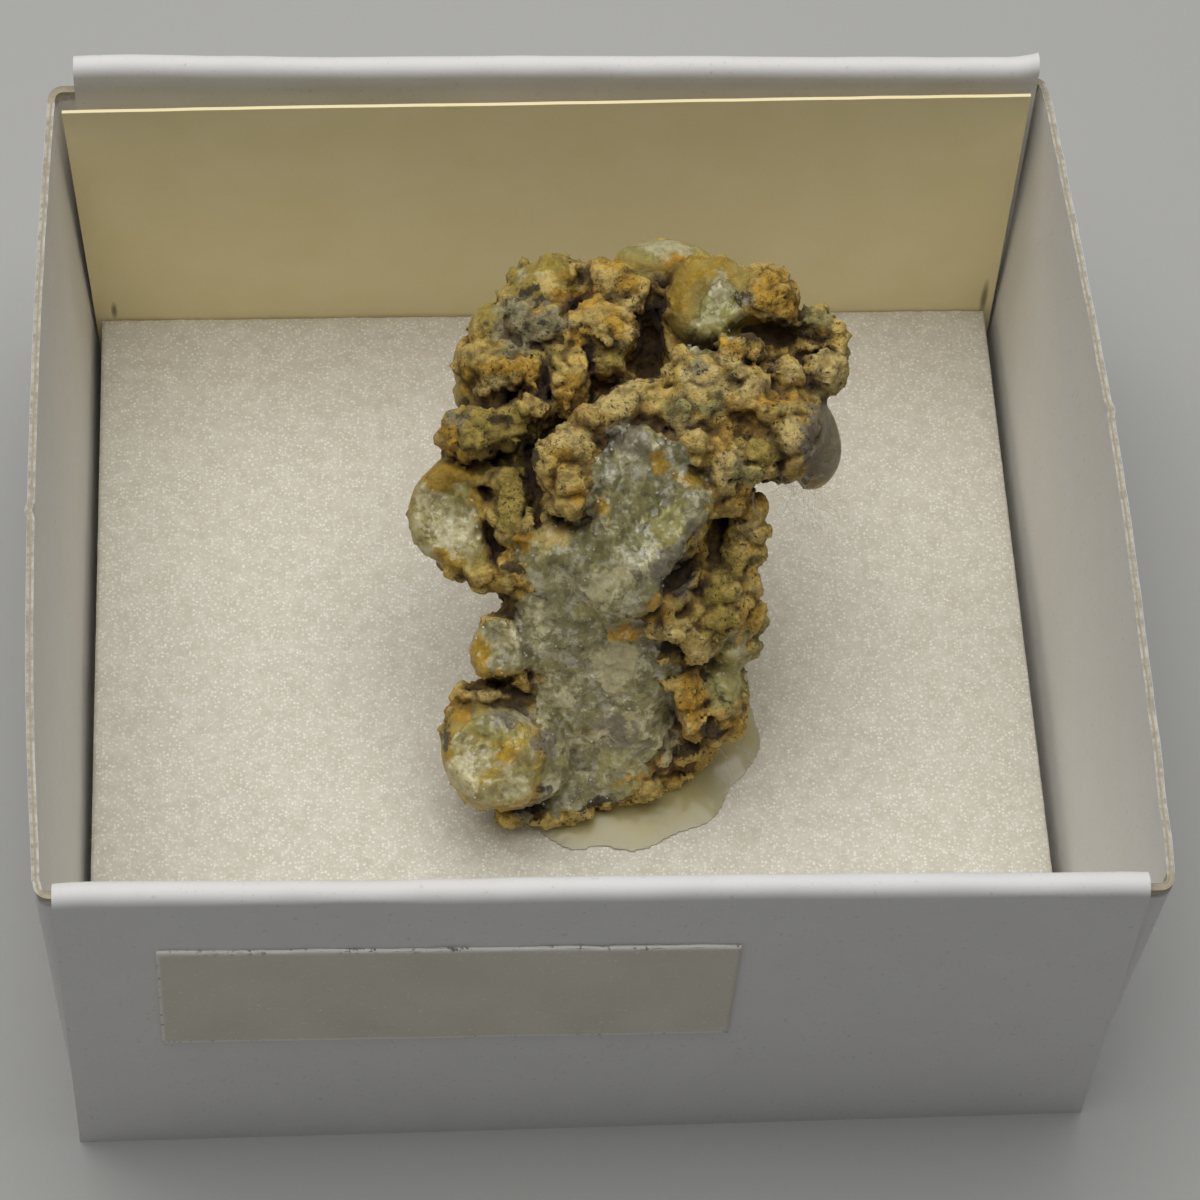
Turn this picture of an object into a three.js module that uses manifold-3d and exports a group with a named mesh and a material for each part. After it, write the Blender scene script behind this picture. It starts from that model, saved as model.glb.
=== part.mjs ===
// A smithsonite specimen fixed with hot glue on the foam floor of a small open card box, with a name card
// standing behind it and a number label on the front. Millimetres, +Z up; the origin is the middle of the
// box's underside, X runs along the front, Y from the front to the back.
import * as THREE from "three";
import { mergeVertices } from "three/addons/utils/BufferGeometryUtils.js";
import Module from "manifold-3d";

const wasm = await Module();
wasm.setup();

// ---------------------------------------------------------------- driving dimensions
const BOX_WIDTH = 40;
const BOX_DEPTH = 40;
const BOX_HEIGHT = 19;
const FLOOR_CARD = 0.5;
const SINGLE_WALL = 0.45; // the side walls, one layer of card with a raw edge
const DOUBLE_WALL = 1.05; // the front and back walls, folded over
// How far out the folded walls stand at their foot and at their head, at their left and right ends.
const FRONT_WALL = { foot: [-0.16, -0.45], head: [0.0, 0.42] };
const BACK_WALL = { foot: [0.0, 0.0], head: [0.62, 0.15] };
const WALL_STEPS = 8;
// How far each side wall leans out at its top, and how high its raw edge stands, at its two ends.
const LEFT_WALL = { flare: { front: 0.68, back: 1.12 }, top: { front: 18.75, back: 17.1 }, isRight: false };
const RIGHT_WALL = { flare: { front: 1.02, back: 0.5 }, top: { front: 18.55, back: 17.7 }, isRight: true };
const SIDE_BOW = 0.5; // how far the side walls' tops bulge out halfway
const BOW_PLACES = [-14, -7, 0, 7, 14];
const TUCKED_IN = 1.0; // how far a side wall's ends reach along the folded walls
const TUCK_DEPTH = 0.3; // how deep in the folded walls they lie
const CORNER_BEND = 0.6; // outside radius of the side walls' corners
const CORNER_STEPS = 4;
const FOLD_STEPS = 6;
const GAP = 0.3; // between pieces that lie against each other

const FOAM_TOP = 4.1;
const FOAM_LEFT = -19.5;
const FOAM_RIGHT = 19.2;
const FOAM_BACK = 18.05;

// The name card is cut a little out of square.
const CARD_OUTLINE = [[-19.45, 1.0], [19.4, 1.0], [19.66, 18.25], [-20.5, 17.75]];
const CARD_THICK = 0.3;
const CARD_FRONT = 18.35;

const LABEL_WIDTH = 21.6;
const LABEL_HEIGHT = 7.0;
const LABEL_THICK = 0.12;
const LABEL_CENTRE_X = -5.6;
const LABEL_CENTRE_Z = 11.85;
const LABEL_TURN_DEG = -0.36;
const LABEL_LIFT = 0.04; // the paste between the label and the wall
const LABEL_STEPS = 6;

// The stone leans back, so it is shaped in a leaning frame of its own: u to the right, v up along its
// broken face, w out of that face.
const STONE_ORIGIN = [0.8, -3.85, 14.08];
const STONE_LEAN_DEG = [34.37, -2.41, -2.73];
const STONE_LOW = [-9, -11, -12.5];
const STONE_HIGH = [11.5, 16.5, 4.5];
const STONE_CELL = 0.62;
const STONE_FOOT = FOAM_TOP + GAP;

const GLUE_CENTRE = [1.3, -3.2];
const GLUE_RADIUS = 6.1;
const GLUE_RISE = 3.2;
const GLUE_LIFT = 0.05; // clear of the foam
const GLUE_BLEND = 0.3;
const GLUE_CELL = 0.6;

// ---------------------------------------------------------------- materials
function material(colour, roughness) {
  return new THREE.MeshStandardMaterial({ color: colour, roughness, metalness: 0 });
}

function piece(name, geometry, colour, roughness) {
  const mesh = new THREE.Mesh(geometry, material(colour, roughness));
  mesh.name = name;
  return mesh;
}

// ---------------------------------------------------------------- joining and cutting solids
function solidOf(geometry) {
  const bare = geometry.clone();
  bare.deleteAttribute("normal");
  bare.deleteAttribute("uv");
  const merged = mergeVertices(bare);
  return new wasm.Manifold(
    new wasm.Mesh({
      numProp: 3,
      vertProperties: merged.attributes.position.array,
      triVerts: new Uint32Array(merged.index.array),
    }),
  );
}

function geometryOf(solid) {
  const mesh = solid.getMesh();
  const geometry = new THREE.BufferGeometry();
  geometry.setAttribute("position", new THREE.BufferAttribute(mesh.vertProperties, 3));
  geometry.setIndex(new THREE.BufferAttribute(mesh.triVerts, 1));
  geometry.computeVertexNormals();
  return geometry;
}

// A profile drawn in the plane across a wall, pushed along the wall's length.
function prism(points, length, steps = 1) {
  const shape = new THREE.Shape(points.map(([a, b]) => new THREE.Vector2(a, b)));
  return new THREE.ExtrudeGeometry(shape, { depth: length, bevelEnabled: false, steps });
}

// How far out a folded wall stands: across runs from 0 at its left end to 1 at its right end, height from
// 0 at its foot to 1 at its head.
function standsOut({ foot, head }, across, height) {
  const low = THREE.MathUtils.lerp(...foot, across);
  const high = THREE.MathUtils.lerp(...head, across);
  return THREE.MathUtils.lerp(low, high, height);
}

// Moves a wall, or what sticks on it, out or in as that wall stands.
function leanOut(geometry, wall, away) {
  const position = geometry.attributes.position;
  for (let i = 0; i < position.count; i++) {
    const out = standsOut(wall, position.getX(i) / BOX_WIDTH + 0.5, position.getZ(i) / BOX_HEIGHT);
    position.setY(i, position.getY(i) + away * out);
  }
  return geometry;
}

// ---------------------------------------------------------------- card tray
// A folded wall in section: card up, round over the top and down again, pressed into one thickness.
function foldedWallSection() {
  const points = [[0, 0], [DOUBLE_WALL, 0]];
  const radius = DOUBLE_WALL / 2;
  for (let i = 0; i <= FOLD_STEPS; i++) {
    const turn = (Math.PI * i) / FOLD_STEPS;
    points.push([radius * (1 + Math.cos(turn)), BOX_HEIGHT - radius + radius * Math.sin(turn)]);
  }
  return points;
}

function foldedWall(isBack) {
  const geometry = prism(foldedWallSection(), BOX_WIDTH, WALL_STEPS);
  geometry.rotateX(Math.PI / 2);
  geometry.rotateZ(Math.PI / 2);
  geometry.translate(-BOX_WIDTH / 2, -BOX_DEPTH / 2, 0);
  if (isBack) geometry.rotateZ(Math.PI);
  return isBack ? leanOut(geometry, BACK_WALL, 1) : leanOut(geometry, FRONT_WALL, -1);
}

// A side wall is one layer of card that runs round the corner at each end, between the two layers of the
// folded wall, and stands further out at its top than at its foot. Its raw top edge slopes a little.
function sideWall(wall) {
  const { top, isRight } = wall;
  const foot = wallLine(0, wall);
  const head = wallLine(1, wall);
  const side = isRight ? 1 : -1;
  const rows = foot.map(({ x, y, inX, inY }, i) => {
    const high = THREE.MathUtils.lerp(top.front, top.back, y / BOX_DEPTH + 0.5);
    return [
      [x, y, 0],
      [head[i].x, head[i].y, high],
      [head[i].x - inX, head[i].y - inY, high],
      [x - inX, y - inY, 0],
    ].map(([a, b, c]) => [side * a, b, c]);
  });
  return loft(rows, isRight);
}

// The wall's outer line seen from above, on the right-hand side, with the step to its inner line.
function wallLine(height, wall) {
  const front = cornerLine(height, wall, "front");
  const back = cornerLine(height, wall, "back").reverse();
  const between = BOW_PLACES.map((y) => {
    const out = THREE.MathUtils.lerp(wall.flare.front, wall.flare.back, y / BOX_DEPTH + 0.5);
    const bow = SIDE_BOW * (1 - ((2 * y) / BOX_DEPTH) ** 2);
    return { x: BOX_WIDTH / 2 + (out + bow) * height, y, inX: SINGLE_WALL, inY: 0 };
  });
  return [...front, ...between, ...back];
}

// One corner of that line, from the end that is tucked into the folded wall to the straight part.
function cornerLine(height, { flare, isRight }, end) {
  const away = end === "back" ? 1 : -1;
  const folded = end === "back" ? BACK_WALL : FRONT_WALL;
  const out = BOX_WIDTH / 2 + flare[end] * height;
  const tuckY = BOX_DEPTH / 2 - TUCK_DEPTH + standsOut(folded, isRight ? 1 : 0, height);
  const corner = [{ x: BOX_WIDTH / 2 - TUCKED_IN, y: away * tuckY, turn: 0 }];
  for (let i = 0; i <= CORNER_STEPS; i++) {
    const turn = (Math.PI / 2) * (i / CORNER_STEPS);
    corner.push({
      x: out - CORNER_BEND * (1 - Math.sin(turn)),
      y: away * (tuckY - CORNER_BEND * (1 - Math.cos(turn))),
      turn,
    });
  }
  return corner.map(({ x, y, turn }) => ({
    x, y, inX: SINGLE_WALL * Math.sin(turn), inY: away * SINGLE_WALL * Math.cos(turn),
  }));
}

// A bar whose four-sided section is given at each step along it.
function loft(rows, isTurned) {
  const triangles = [];
  for (let i = 0; i + 1 < rows.length; i++) {
    for (let c = 0; c < 4; c++) {
      const [p, q, r, s] = [rows[i][c], rows[i][(c + 1) % 4], rows[i + 1][(c + 1) % 4], rows[i + 1][c]];
      triangles.push([p, q, r], [p, r, s]);
    }
  }
  const [first, last] = [rows[0], rows.at(-1)];
  triangles.push([first[0], first[2], first[1]], [first[0], first[3], first[2]]);
  triangles.push([last[0], last[1], last[2]], [last[0], last[2], last[3]]);
  const facing = isTurned ? triangles.map(([p, q, r]) => [p, r, q]) : triangles;
  const geometry = new THREE.BufferGeometry();
  geometry.setAttribute("position", new THREE.Float32BufferAttribute(facing.flat(2), 3));
  return geometry;
}

function trayGeometry() {
  const floor = new THREE.BoxGeometry(BOX_WIDTH - SINGLE_WALL, BOX_DEPTH - DOUBLE_WALL, FLOOR_CARD);
  floor.translate(0, 0, FLOOR_CARD / 2);
  const walls = [foldedWall(false), foldedWall(true), sideWall(LEFT_WALL), sideWall(RIGHT_WALL)];
  return geometryOf(walls.reduce((solid, wall) => solid.add(solidOf(wall)), solidOf(floor)));
}

// ---------------------------------------------------------------- foam, name card, label
function foamGeometry() {
  const front = -BOX_DEPTH / 2 - Math.min(...FRONT_WALL.foot) + DOUBLE_WALL + GAP;
  const bottom = FLOOR_CARD + GAP;
  const geometry = new THREE.BoxGeometry(FOAM_RIGHT - FOAM_LEFT, FOAM_BACK - front, FOAM_TOP - bottom);
  geometry.translate((FOAM_RIGHT + FOAM_LEFT) / 2, (FOAM_BACK + front) / 2, (FOAM_TOP + bottom) / 2);
  return geometry;
}

function nameCardGeometry() {
  const geometry = prism(CARD_OUTLINE, CARD_THICK);
  geometry.rotateX(Math.PI / 2);
  geometry.translate(0, CARD_FRONT + CARD_THICK, 0);
  return geometry;
}

function labelGeometry() {
  const geometry = new THREE.BoxGeometry(LABEL_WIDTH, LABEL_THICK, LABEL_HEIGHT, LABEL_STEPS);
  geometry.rotateY(THREE.MathUtils.degToRad(-LABEL_TURN_DEG));
  geometry.translate(LABEL_CENTRE_X, -BOX_DEPTH / 2 - LABEL_LIFT - LABEL_THICK / 2, LABEL_CENTRE_Z);
  return leanOut(geometry, FRONT_WALL, -1);
}

// ---------------------------------------------------------------- the stone's lumps and hollows
// Each row is a lump: its centre u, v, w, its half widths along u, v and w, and for a few its turn in
// degrees about w.
const COLUMN = [
  [1.4, -4.9, -7.2, 3.6, 2.8, 2.6], // the foot, in the glue
  [-1.5, -7.3, -6.4, 2.8, 1.4, 2.4],
  [-0.9, -5.3, -5.8, 3.9, 2.8, 3.6],
  [-0.5, -2.1, -4.2, 4.0, 3.2, 3.8],
  [0.2, 1.1, -2.4, 3.9, 2.8, 3.9],
  [1.2, -1.0, -5.0, 4.5, 3.8, 3.0],
  [0.8, 3.0, -3.2, 4.7, 3.6, 3.0],
  [-3.0, 4.0, -3.2, 3.0, 3.3, 1.7],
  [1.8, 8.2, -3.8, 6.2, 4.1, 2.6], // the back of the head
  [5.6, 9.9, -3.0, 3.4, 2.2, 1.6],
  [-2.6, 9.2, -3.0, 3.2, 2.8, 2.0],
];

const TONGUE = [
  [1.7, 3.7, 0.4, 2.15, 3.1, 2.2],
  [3.5, 3.8, 0.2, 1.1, 1.1, 1.7],
  [1.5, 6.0, 0.7, 1.0, 0.9, 1.5],
  [0.9, 1.7, 0.1, 2.0, 2.6, 1.5], // where it runs into the face
];

const CROWN = [
  [-1.9, 12.3, -2.4, 1.6, 1.4, 1.5],
  [-1.3, 12.8, -1.5, 0.55, 0.5, 0.6],
  [0.5, 12.2, -2.3, 1.3, 1.25, 1.5],
  [0.0, 12.9, -1.9, 0.65, 0.6, 0.7],
  [1.6, 12.1, -1.8, 0.85, 0.85, 1.0],
  [2.5, 13.3, -3.4, 2.1, 1.1, 1.4],
  [4.4, 11.7, -1.6, 1.9, 1.9, 1.9], // the glassy olive block
  [6.5, 11.8, -1.2, 1.25, 1.35, 1.4],
  [8.4, 10.6, -1.8, 0.95, 0.9, 1.0],
  [9.2, 10.1, -1.8, 0.6, 0.8, 0.7],
  [8.8, 8.9, -0.9, 0.85, 0.95, 1.0],
  [-4.3, 10.7, -1.6, 0.95, 1.05, 1.1],
  [-4.0, 9.3, -1.0, 1.65, 1.1, 1.3],
  [-2.95, 9.1, -0.5, 0.95, 0.85, 1.0],
  [-5.1, 9.3, -2.6, 0.8, 1.2, 1.0],
  [-5.1, 8.2, -1.8, 0.75, 0.85, 0.9],
  [-2.4, 10.8, -1.7, 1.4, 1.25, 1.5],
  [-3.2, 11.6, -2.4, 1.0, 0.85, 1.0],
  [0.1, 10.6, -1.2, 1.2, 1.1, 1.4],
  [-1.0, 10.5, -0.6, 0.65, 0.6, 0.6],
  [0.8, 10.2, -0.4, 0.7, 0.65, 0.6],
  [0.3, 9.4, -0.9, 0.85, 0.75, 0.9],
  [-1.1, 8.4, -0.4, 0.7, 1.15, 1.0],
  [-1.4, 9.5, -0.6, 0.75, 0.65, 0.8],
  [-2.75, 7.7, -0.3, 0.9, 0.65, 0.9],
  [-4.3, 8.35, -0.4, 0.55, 0.5, 0.6],
  [-4.5, 6.65, -0.9, 1.65, 1.1, 1.4],
  [-5.75, 6.3, -1.3, 0.5, 0.75, 0.9],
  [-3.2, 6.7, -0.8, 1.05, 0.85, 1.1],
];

const RIDGE = [
  [0.8, 7.6, 0.2, 1.3, 1.15, 1.3],
  [2.1, 7.7, 0.1, 1.15, 0.95, 1.2],
  [0.0, 6.8, 0.7, 1.25, 1.05, 1.3],
  [-1.2, 6.0, 1.0, 1.1, 0.95, 1.2],
  [-1.75, 5.7, 1.4, 0.8, 0.95, 0.9],
  [-1.05, 4.4, 1.0, 1.15, 1.35, 1.2],
  [-2.1, 4.8, 0.8, 0.55, 0.65, 0.6],
  [-0.4, 5.3, 1.1, 0.95, 0.95, 1.0],
];

const RIGHT_SHOULDER = [
  [3.9, 7.7, -0.3, 1.6, 2.2, 1.8],
  [3.4, 9.2, -0.1, 0.95, 0.75, 1.0],
  [4.3, 8.5, 0.6, 0.85, 0.65, 0.9],
  [3.4, 7.2, 0.9, 0.8, 0.7, 0.8],
  [5.4, 9.9, 0.2, 0.95, 0.5, 0.8, -20],
  [5.4, 8.9, 0.2, 0.9, 0.45, 0.8, -15],
  [6.9, 6.9, -1.3, 2.2, 2.4, 2.1],
  [7.3, 8.8, 0.0, 0.65, 0.65, 0.7],
  [6.1, 8.4, 0.3, 0.65, 0.65, 0.7],
  [5.6, 7.8, 0.6, 0.75, 0.55, 0.7],
  [6.6, 7.3, 0.6, 0.6, 0.55, 0.6],
  [7.5, 6.3, 0.3, 0.85, 0.95, 0.8],
  [5.7, 5.4, 0.5, 0.85, 0.85, 0.9],
  [6.5, 5.2, 0.1, 0.5, 0.75, 0.7, 20],
  [3.5, 5.9, 0.8, 1.2, 1.0, 1.2],
  [4.8, 5.2, 0.4, 1.1, 1.05, 1.2],
  [5.1, 4.2, -0.1, 0.95, 0.85, 1.1],
];

const CLEAR_LOBES = [
  [8.5, 6.2, -2.2, 1.1, 1.85, 1.5], // grey-brown, at the right
  [-6.05, 3.4, -1.5, 1.6, 1.95, 1.1], // the pale disc at the left
  [-5.7, 5.0, -1.4, 1.1, 0.6, 1.0],
  [-5.4, 1.8, -1.6, 1.1, 0.95, 0.9],
  [-4.6, 1.1, -1.6, 0.85, 0.5, 0.7],
  [-3.95, -2.0, -2.2, 1.2, 1.4, 1.5],
  [-4.3, -6.2, -3.2, 2.0, 2.2, 1.8], // the big one at the bottom left
  [-3.6, -7.4, -3.0, 1.15, 0.95, 1.3],
  [-2.7, -6.2, -3.9, 1.5, 2.0, 1.5],
];

const LEFT_LEDGE = [
  [-3.75, 4.95, -1.4, 0.85, 0.85, 0.9],
  [-3.5, 3.35, -1.3, 0.95, 1.25, 1.1],
  [-2.4, 2.8, -0.8, 1.2, 0.75, 1.0],
  [-3.6, 1.0, -1.3, 0.65, 0.55, 0.7],
  [-4.6, -3.8, -3.3, 1.2, 0.5, 1.1],
  [-5.5, -4.6, -3.5, 0.75, 0.75, 0.9],
  [-6.0, -5.4, -3.3, 0.4, 0.5, 0.4],
];

const RIGHT_FLANK = [
  [5.7, 3.7, -0.9, 0.8, 0.55, 1.0],
  [5.85, 2.75, -1.3, 0.8, 0.6, 1.0],
  [5.6, 2.0, -1.7, 0.75, 0.65, 1.0],
  [4.9, 0.2, -2.3, 1.25, 1.7, 1.6],
  [6.0, -0.8, -3.0, 0.5, 0.6, 0.6],
  [5.2, -1.6, -3.3, 1.0, 1.2, 1.4],
  [4.0, -0.9, -2.0, 1.05, 1.5, 1.3],
  [2.7, -1.2, -0.8, 1.05, 0.45, 0.9],
  [2.2, -0.4, -0.7, 0.65, 0.6, 0.8],
  [1.0, -1.0, -0.9, 0.75, 0.65, 0.7],
  [4.6, -3.6, -4.1, 1.2, 1.6, 1.5],
  [5.2, -4.0, -4.9, 0.7, 1.4, 1.1],
  [3.5, -3.6, -3.1, 0.6, 2.0, 0.9, 8],
  [4.7, -5.3, -5.2, 0.95, 0.45, 0.8],
  [3.5, -6.0, -5.5, 0.65, 0.5, 0.8],
  [1.4, -7.2, -5.3, 1.05, 0.45, 0.8],
  [-1.6, -8.4, -5.8, 1.5, 0.65, 1.0],
  [-3.4, -8.6, -5.0, 0.65, 0.45, 0.7],
];

// Hollows cut into the stone, written like the lumps.
const HOLLOWS = [
  [1.95, 10.2, -0.8, 0.55, 1.2, 2.2], // the deep dark hole in the head
  [1.85, 9.3, -0.9, 0.95, 0.85, 2.2],
  [7.2, 10.4, -0.2, 2.0, 0.7, 1.7, -6], // under the upper right lump
  [0.1, 8.3, 0.5, 1.3, 0.45, 1.2, 35],
  [-2.0, 6.8, 0.4, 1.1, 0.42, 1.7, 58],
  [-2.8, 5.5, 0.0, 0.5, 1.5, 1.6],
  [-2.5, 3.9, 0.0, 0.45, 1.2, 1.4],
  [-4.0, 5.55, -0.2, 1.3, 0.38, 1.7],
  [-3.75, 8.0, 0.2, 0.8, 0.35, 0.8],
  [-4.2, -3.35, -2.2, 1.3, 0.25, 1.7, 10], // the cleft between the two left lobes
  [2.3, -1.95, -0.7, 0.9, 0.35, 0.8],
  [6.7, 4.5, -0.3, 1.2, 0.45, 1.4],
  [3.5, 1.3, 0.3, 1.5, 0.5, 1.5, 46],
  [2.15, 11.9, -0.4, 0.3, 0.9, 1.3],
  [-0.75, 12.9, -1.0, 0.2, 0.6, 0.8],
  [2.0, 3.6, 5.2, 3.3, 4.0, 3.7], // wide shallow breaks: the tongue, the disc, the lobes, the glassy block
  [-6.2, 3.3, 2.2, 2.3, 2.7, 3.2],
  [-4.9, -5.8, 1.5, 2.6, 2.6, 3.7],
  [-3.4, -8.0, 0.4, 1.6, 1.5, 2.6],
  [-4.2, -2.0, 1.6, 1.8, 2.0, 3.2],
  [4.4, 11.6, 2.8, 2.3, 2.6, 3.1],
];

// The broken face cuts the column off in front, along the plane w = LEVEL + TILT * u + RISE * v.
const FACE_LEVEL = -0.1;
const FACE_TILT = 0.12;
const FACE_RISE = 0.6;
const FACE_WAVES = 0.3;
const FACE_WAVE_SIZE = 1.6;

// How softly neighbouring lumps run into each other, and how uneven their surface is.
const COLUMN_BLEND = 1.2;
const FACE_BLEND = 0.6;
const TONGUE_BLEND = 0.6;
const LUMP_WAVES = 0.16;
const LUMP_WAVE_SIZE = 0.6;
const FOOT_BLEND = 0.2;
const LUMP_BLEND = 0.2;
const HOLLOW_BLEND = 0.25;

// ---------------------------------------------------------------- distance fields
// How far a point is outside an ellipsoid, near enough for smooth joins.
function lumpDistance([cu, cv, cw, ru, rv, rw, turnDeg = 0], u, v, w) {
  const turn = THREE.MathUtils.degToRad(turnDeg);
  const du = u - cu;
  const dv = v - cv;
  const a = (du * Math.cos(turn) + dv * Math.sin(turn)) / ru;
  const b = (dv * Math.cos(turn) - du * Math.sin(turn)) / rv;
  const c = (w - cw) / rw;
  const reach = Math.hypot(a, b, c);
  const slope = Math.hypot(a / ru, b / rv, c / rw);
  return slope > 0 ? (reach * (reach - 1)) / slope : -Math.min(ru, rv, rw);
}

function smoothMin(a, b, blend) {
  const h = Math.max(blend - Math.abs(a - b), 0) / blend;
  return Math.min(a, b) - (h * h * blend) / 4;
}

function smoothMax(a, b, blend) {
  return -smoothMin(-a, -b, blend);
}

// Soft waves in three crossed directions, between -1 and 1, that keep the lumps from being smooth.
function unevenness(u, v, w, wave) {
  const a = Math.sin((1.9 * u + 0.7 * v - 1.1 * w) / wave);
  const b = Math.sin((0.8 * u - 1.7 * v + 1.3 * w) / wave + 1.3);
  const c = Math.sin((1.2 * u + 1.0 * v + 1.8 * w) / wave + 2.6);
  return (a * b + b * c + c * a) / 3 + (a + b + c) / 6;
}

const leanFrame = new THREE.Matrix4().makeRotationFromEuler(
  new THREE.Euler(...STONE_LEAN_DEG.map(THREE.MathUtils.degToRad), "ZYX"),
);
leanFrame.setPosition(...STONE_ORIGIN);
const leanInverse = leanFrame.clone().invert();

function faceDistance(u, v, w) {
  const waves = FACE_WAVES * unevenness(u, v, 0, FACE_WAVE_SIZE);
  return (w - FACE_LEVEL - FACE_TILT * u - FACE_RISE * v - waves) / Math.hypot(1, FACE_RISE, FACE_TILT);
}

function stoneDistance(u, v, w) {
  let d = 1e3;
  for (const lump of COLUMN) d = smoothMin(d, lumpDistance(lump, u, v, w), COLUMN_BLEND);
  d = smoothMax(d, faceDistance(u, v, w), FACE_BLEND);
  for (const lump of TONGUE) d = smoothMin(d, lumpDistance(lump, u, v, w), TONGUE_BLEND);
  for (const group of [CROWN, RIDGE, RIGHT_SHOULDER, LEFT_LEDGE, CLEAR_LOBES, RIGHT_FLANK]) {
    for (const lump of group) d = smoothMin(d, lumpDistance(lump, u, v, w), LUMP_BLEND);
  }
  d += LUMP_WAVES * unevenness(u, v, w, LUMP_WAVE_SIZE);
  for (const hollow of HOLLOWS) d = smoothMax(d, -lumpDistance(hollow, u, v, w), HOLLOW_BLEND);
  const height = new THREE.Vector3(u, v, w).applyMatrix4(leanFrame).z;
  return smoothMax(d, STONE_FOOT - height, FOOT_BLEND);
}

// The glue is a low dome that stands up round the stone's foot and is open where the stone stands.
function glueDistance(x, y, z) {
  const [cx, cy] = GLUE_CENTRE;
  const dome = lumpDistance([cx, cy, FOAM_TOP, GLUE_RADIUS, GLUE_RADIUS, GLUE_RISE], x, y, z);
  const at = new THREE.Vector3(x, y, z).applyMatrix4(leanInverse);
  const clearOfStone = GAP - stoneDistance(at.x, at.y, at.z);
  return Math.max(smoothMax(dome, clearOfStone, GLUE_BLEND), FOAM_TOP + GLUE_LIFT - z);
}

// ---------------------------------------------------------------- surface of a distance field
// Dual mesh of a field on a cubic grid: one vertex in each cell that the surface crosses, one quad across
// each grid edge that it crosses, each vertex then drawn onto the surface itself.
const CORNERS = [0, 1, 2, 3, 4, 5, 6, 7].map((c) => [c & 1, (c >> 1) & 1, (c >> 2) & 1]);
const NEXT_CORNERS = CORNERS.map((_, c) => [c ^ 1, c ^ 2, c ^ 4]);
const FILLED = -0.02; // the value of a grid point that is turned from outside to inside

function surfaceOf(distance, low, high, cell) {
  const grid = sampled(distance, low, high, cell);
  do fillCavities(grid);
  while (mendPinches(grid));
  const positions = [];
  const vertexOf = new Map();
  forCells(grid.n, 0, (i, j, k) => {
    const values = CORNERS.map(([a, b, c]) => grid.value[grid.at(i + a, j + b, k + c)]);
    if (values.every((x) => x < 0) || values.every((x) => x >= 0)) return;
    const middle = crossingMiddle(values);
    const p = [i, j, k].map((x, m) => low[m] + cell * (x + middle[m]));
    vertexOf.set(grid.at(i, j, k), positions.length / 3);
    positions.push(...drawnOnto(distance, p, cell));
  });
  const triangles = [];
  forCells(grid.n, 1, (i, j, k) => {
    for (const ring of crossedEdges(grid, i, j, k)) {
      triangles.push(...splitQuad(ring.map((index) => vertexOf.get(index)), positions));
    }
  });
  const geometry = new THREE.BufferGeometry();
  geometry.setAttribute("position", new THREE.Float32BufferAttribute(positions, 3));
  geometry.setIndex(triangles);
  geometry.computeVertexNormals();
  return geometry;
}

function forCells(n, from, visit) {
  for (let k = from; k < n[2] - 1; k++) {
    for (let j = from; j < n[1] - 1; j++) {
      for (let i = from; i < n[0] - 1; i++) visit(i, j, k);
    }
  }
}

function sampled(distance, low, high, cell) {
  const n = low.map((a, i) => Math.ceil((high[i] - a) / cell) + 1);
  const at = (i, j, k) => i + n[0] * (j + n[1] * k);
  const value = new Float64Array(n[0] * n[1] * n[2]);
  forCells(n.map((size) => size + 1), 0, (i, j, k) => {
    value[at(i, j, k)] = distance(low[0] + i * cell, low[1] + j * cell, low[2] + k * cell);
  });
  return { n, at, value };
}

// The middle of the points where the surface crosses a cell's edges, from 0 to 1 across the cell.
function crossingMiddle(values) {
  const sum = [0, 0, 0];
  let crossings = 0;
  for (let c = 0; c < 8; c++) {
    for (const o of NEXT_CORNERS[c]) {
      if (o < c || values[c] < 0 === values[o] < 0) continue;
      const t = values[c] / (values[c] - values[o]);
      for (let m = 0; m < 3; m++) sum[m] += CORNERS[c][m] + t * (CORNERS[o][m] - CORNERS[c][m]);
      crossings++;
    }
  }
  return sum.map((x) => x / crossings);
}

// For each of the three grid edges that leave a point and are crossed, the four cells round that edge.
function crossedEdges(grid, i, j, k) {
  const rings = [];
  for (const [a, b, c] of [[0, 1, 2], [1, 2, 0], [2, 0, 1]]) {
    const next = [i, j, k];
    next[a]++;
    const isInside = grid.value[grid.at(i, j, k)] < 0;
    if (isInside === grid.value[grid.at(...next)] < 0) continue;
    const ring = [[0, 0], [1, 0], [1, 1], [0, 1]].map(([s, t]) => {
      const cellAt = [i, j, k];
      cellAt[b] -= s;
      cellAt[c] -= t;
      return grid.at(...cellAt);
    });
    rings.push(isInside ? ring : ring.reverse());
  }
  return rings;
}

// Grid points outside the surface that can't be reached from the grid's edge are in a sealed pocket.
function fillCavities({ value, n, at }) {
  const reached = new Uint8Array(value.length);
  const queue = [[0, 0, 0]];
  reached[0] = 1;
  while (queue.length) {
    const here = queue.pop();
    for (let axis = 0; axis < 3; axis++) {
      for (const step of [-1, 1]) {
        const next = [...here];
        next[axis] += step;
        const index = at(...next);
        if (next[axis] < 0 || next[axis] >= n[axis] || reached[index] || value[index] < 0) continue;
        reached[index] = 1;
        queue.push(next);
      }
    }
  }
  for (let i = 0; i < value.length; i++) {
    if (!reached[i] && value[i] >= 0) value[i] = FILLED;
  }
}

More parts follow.
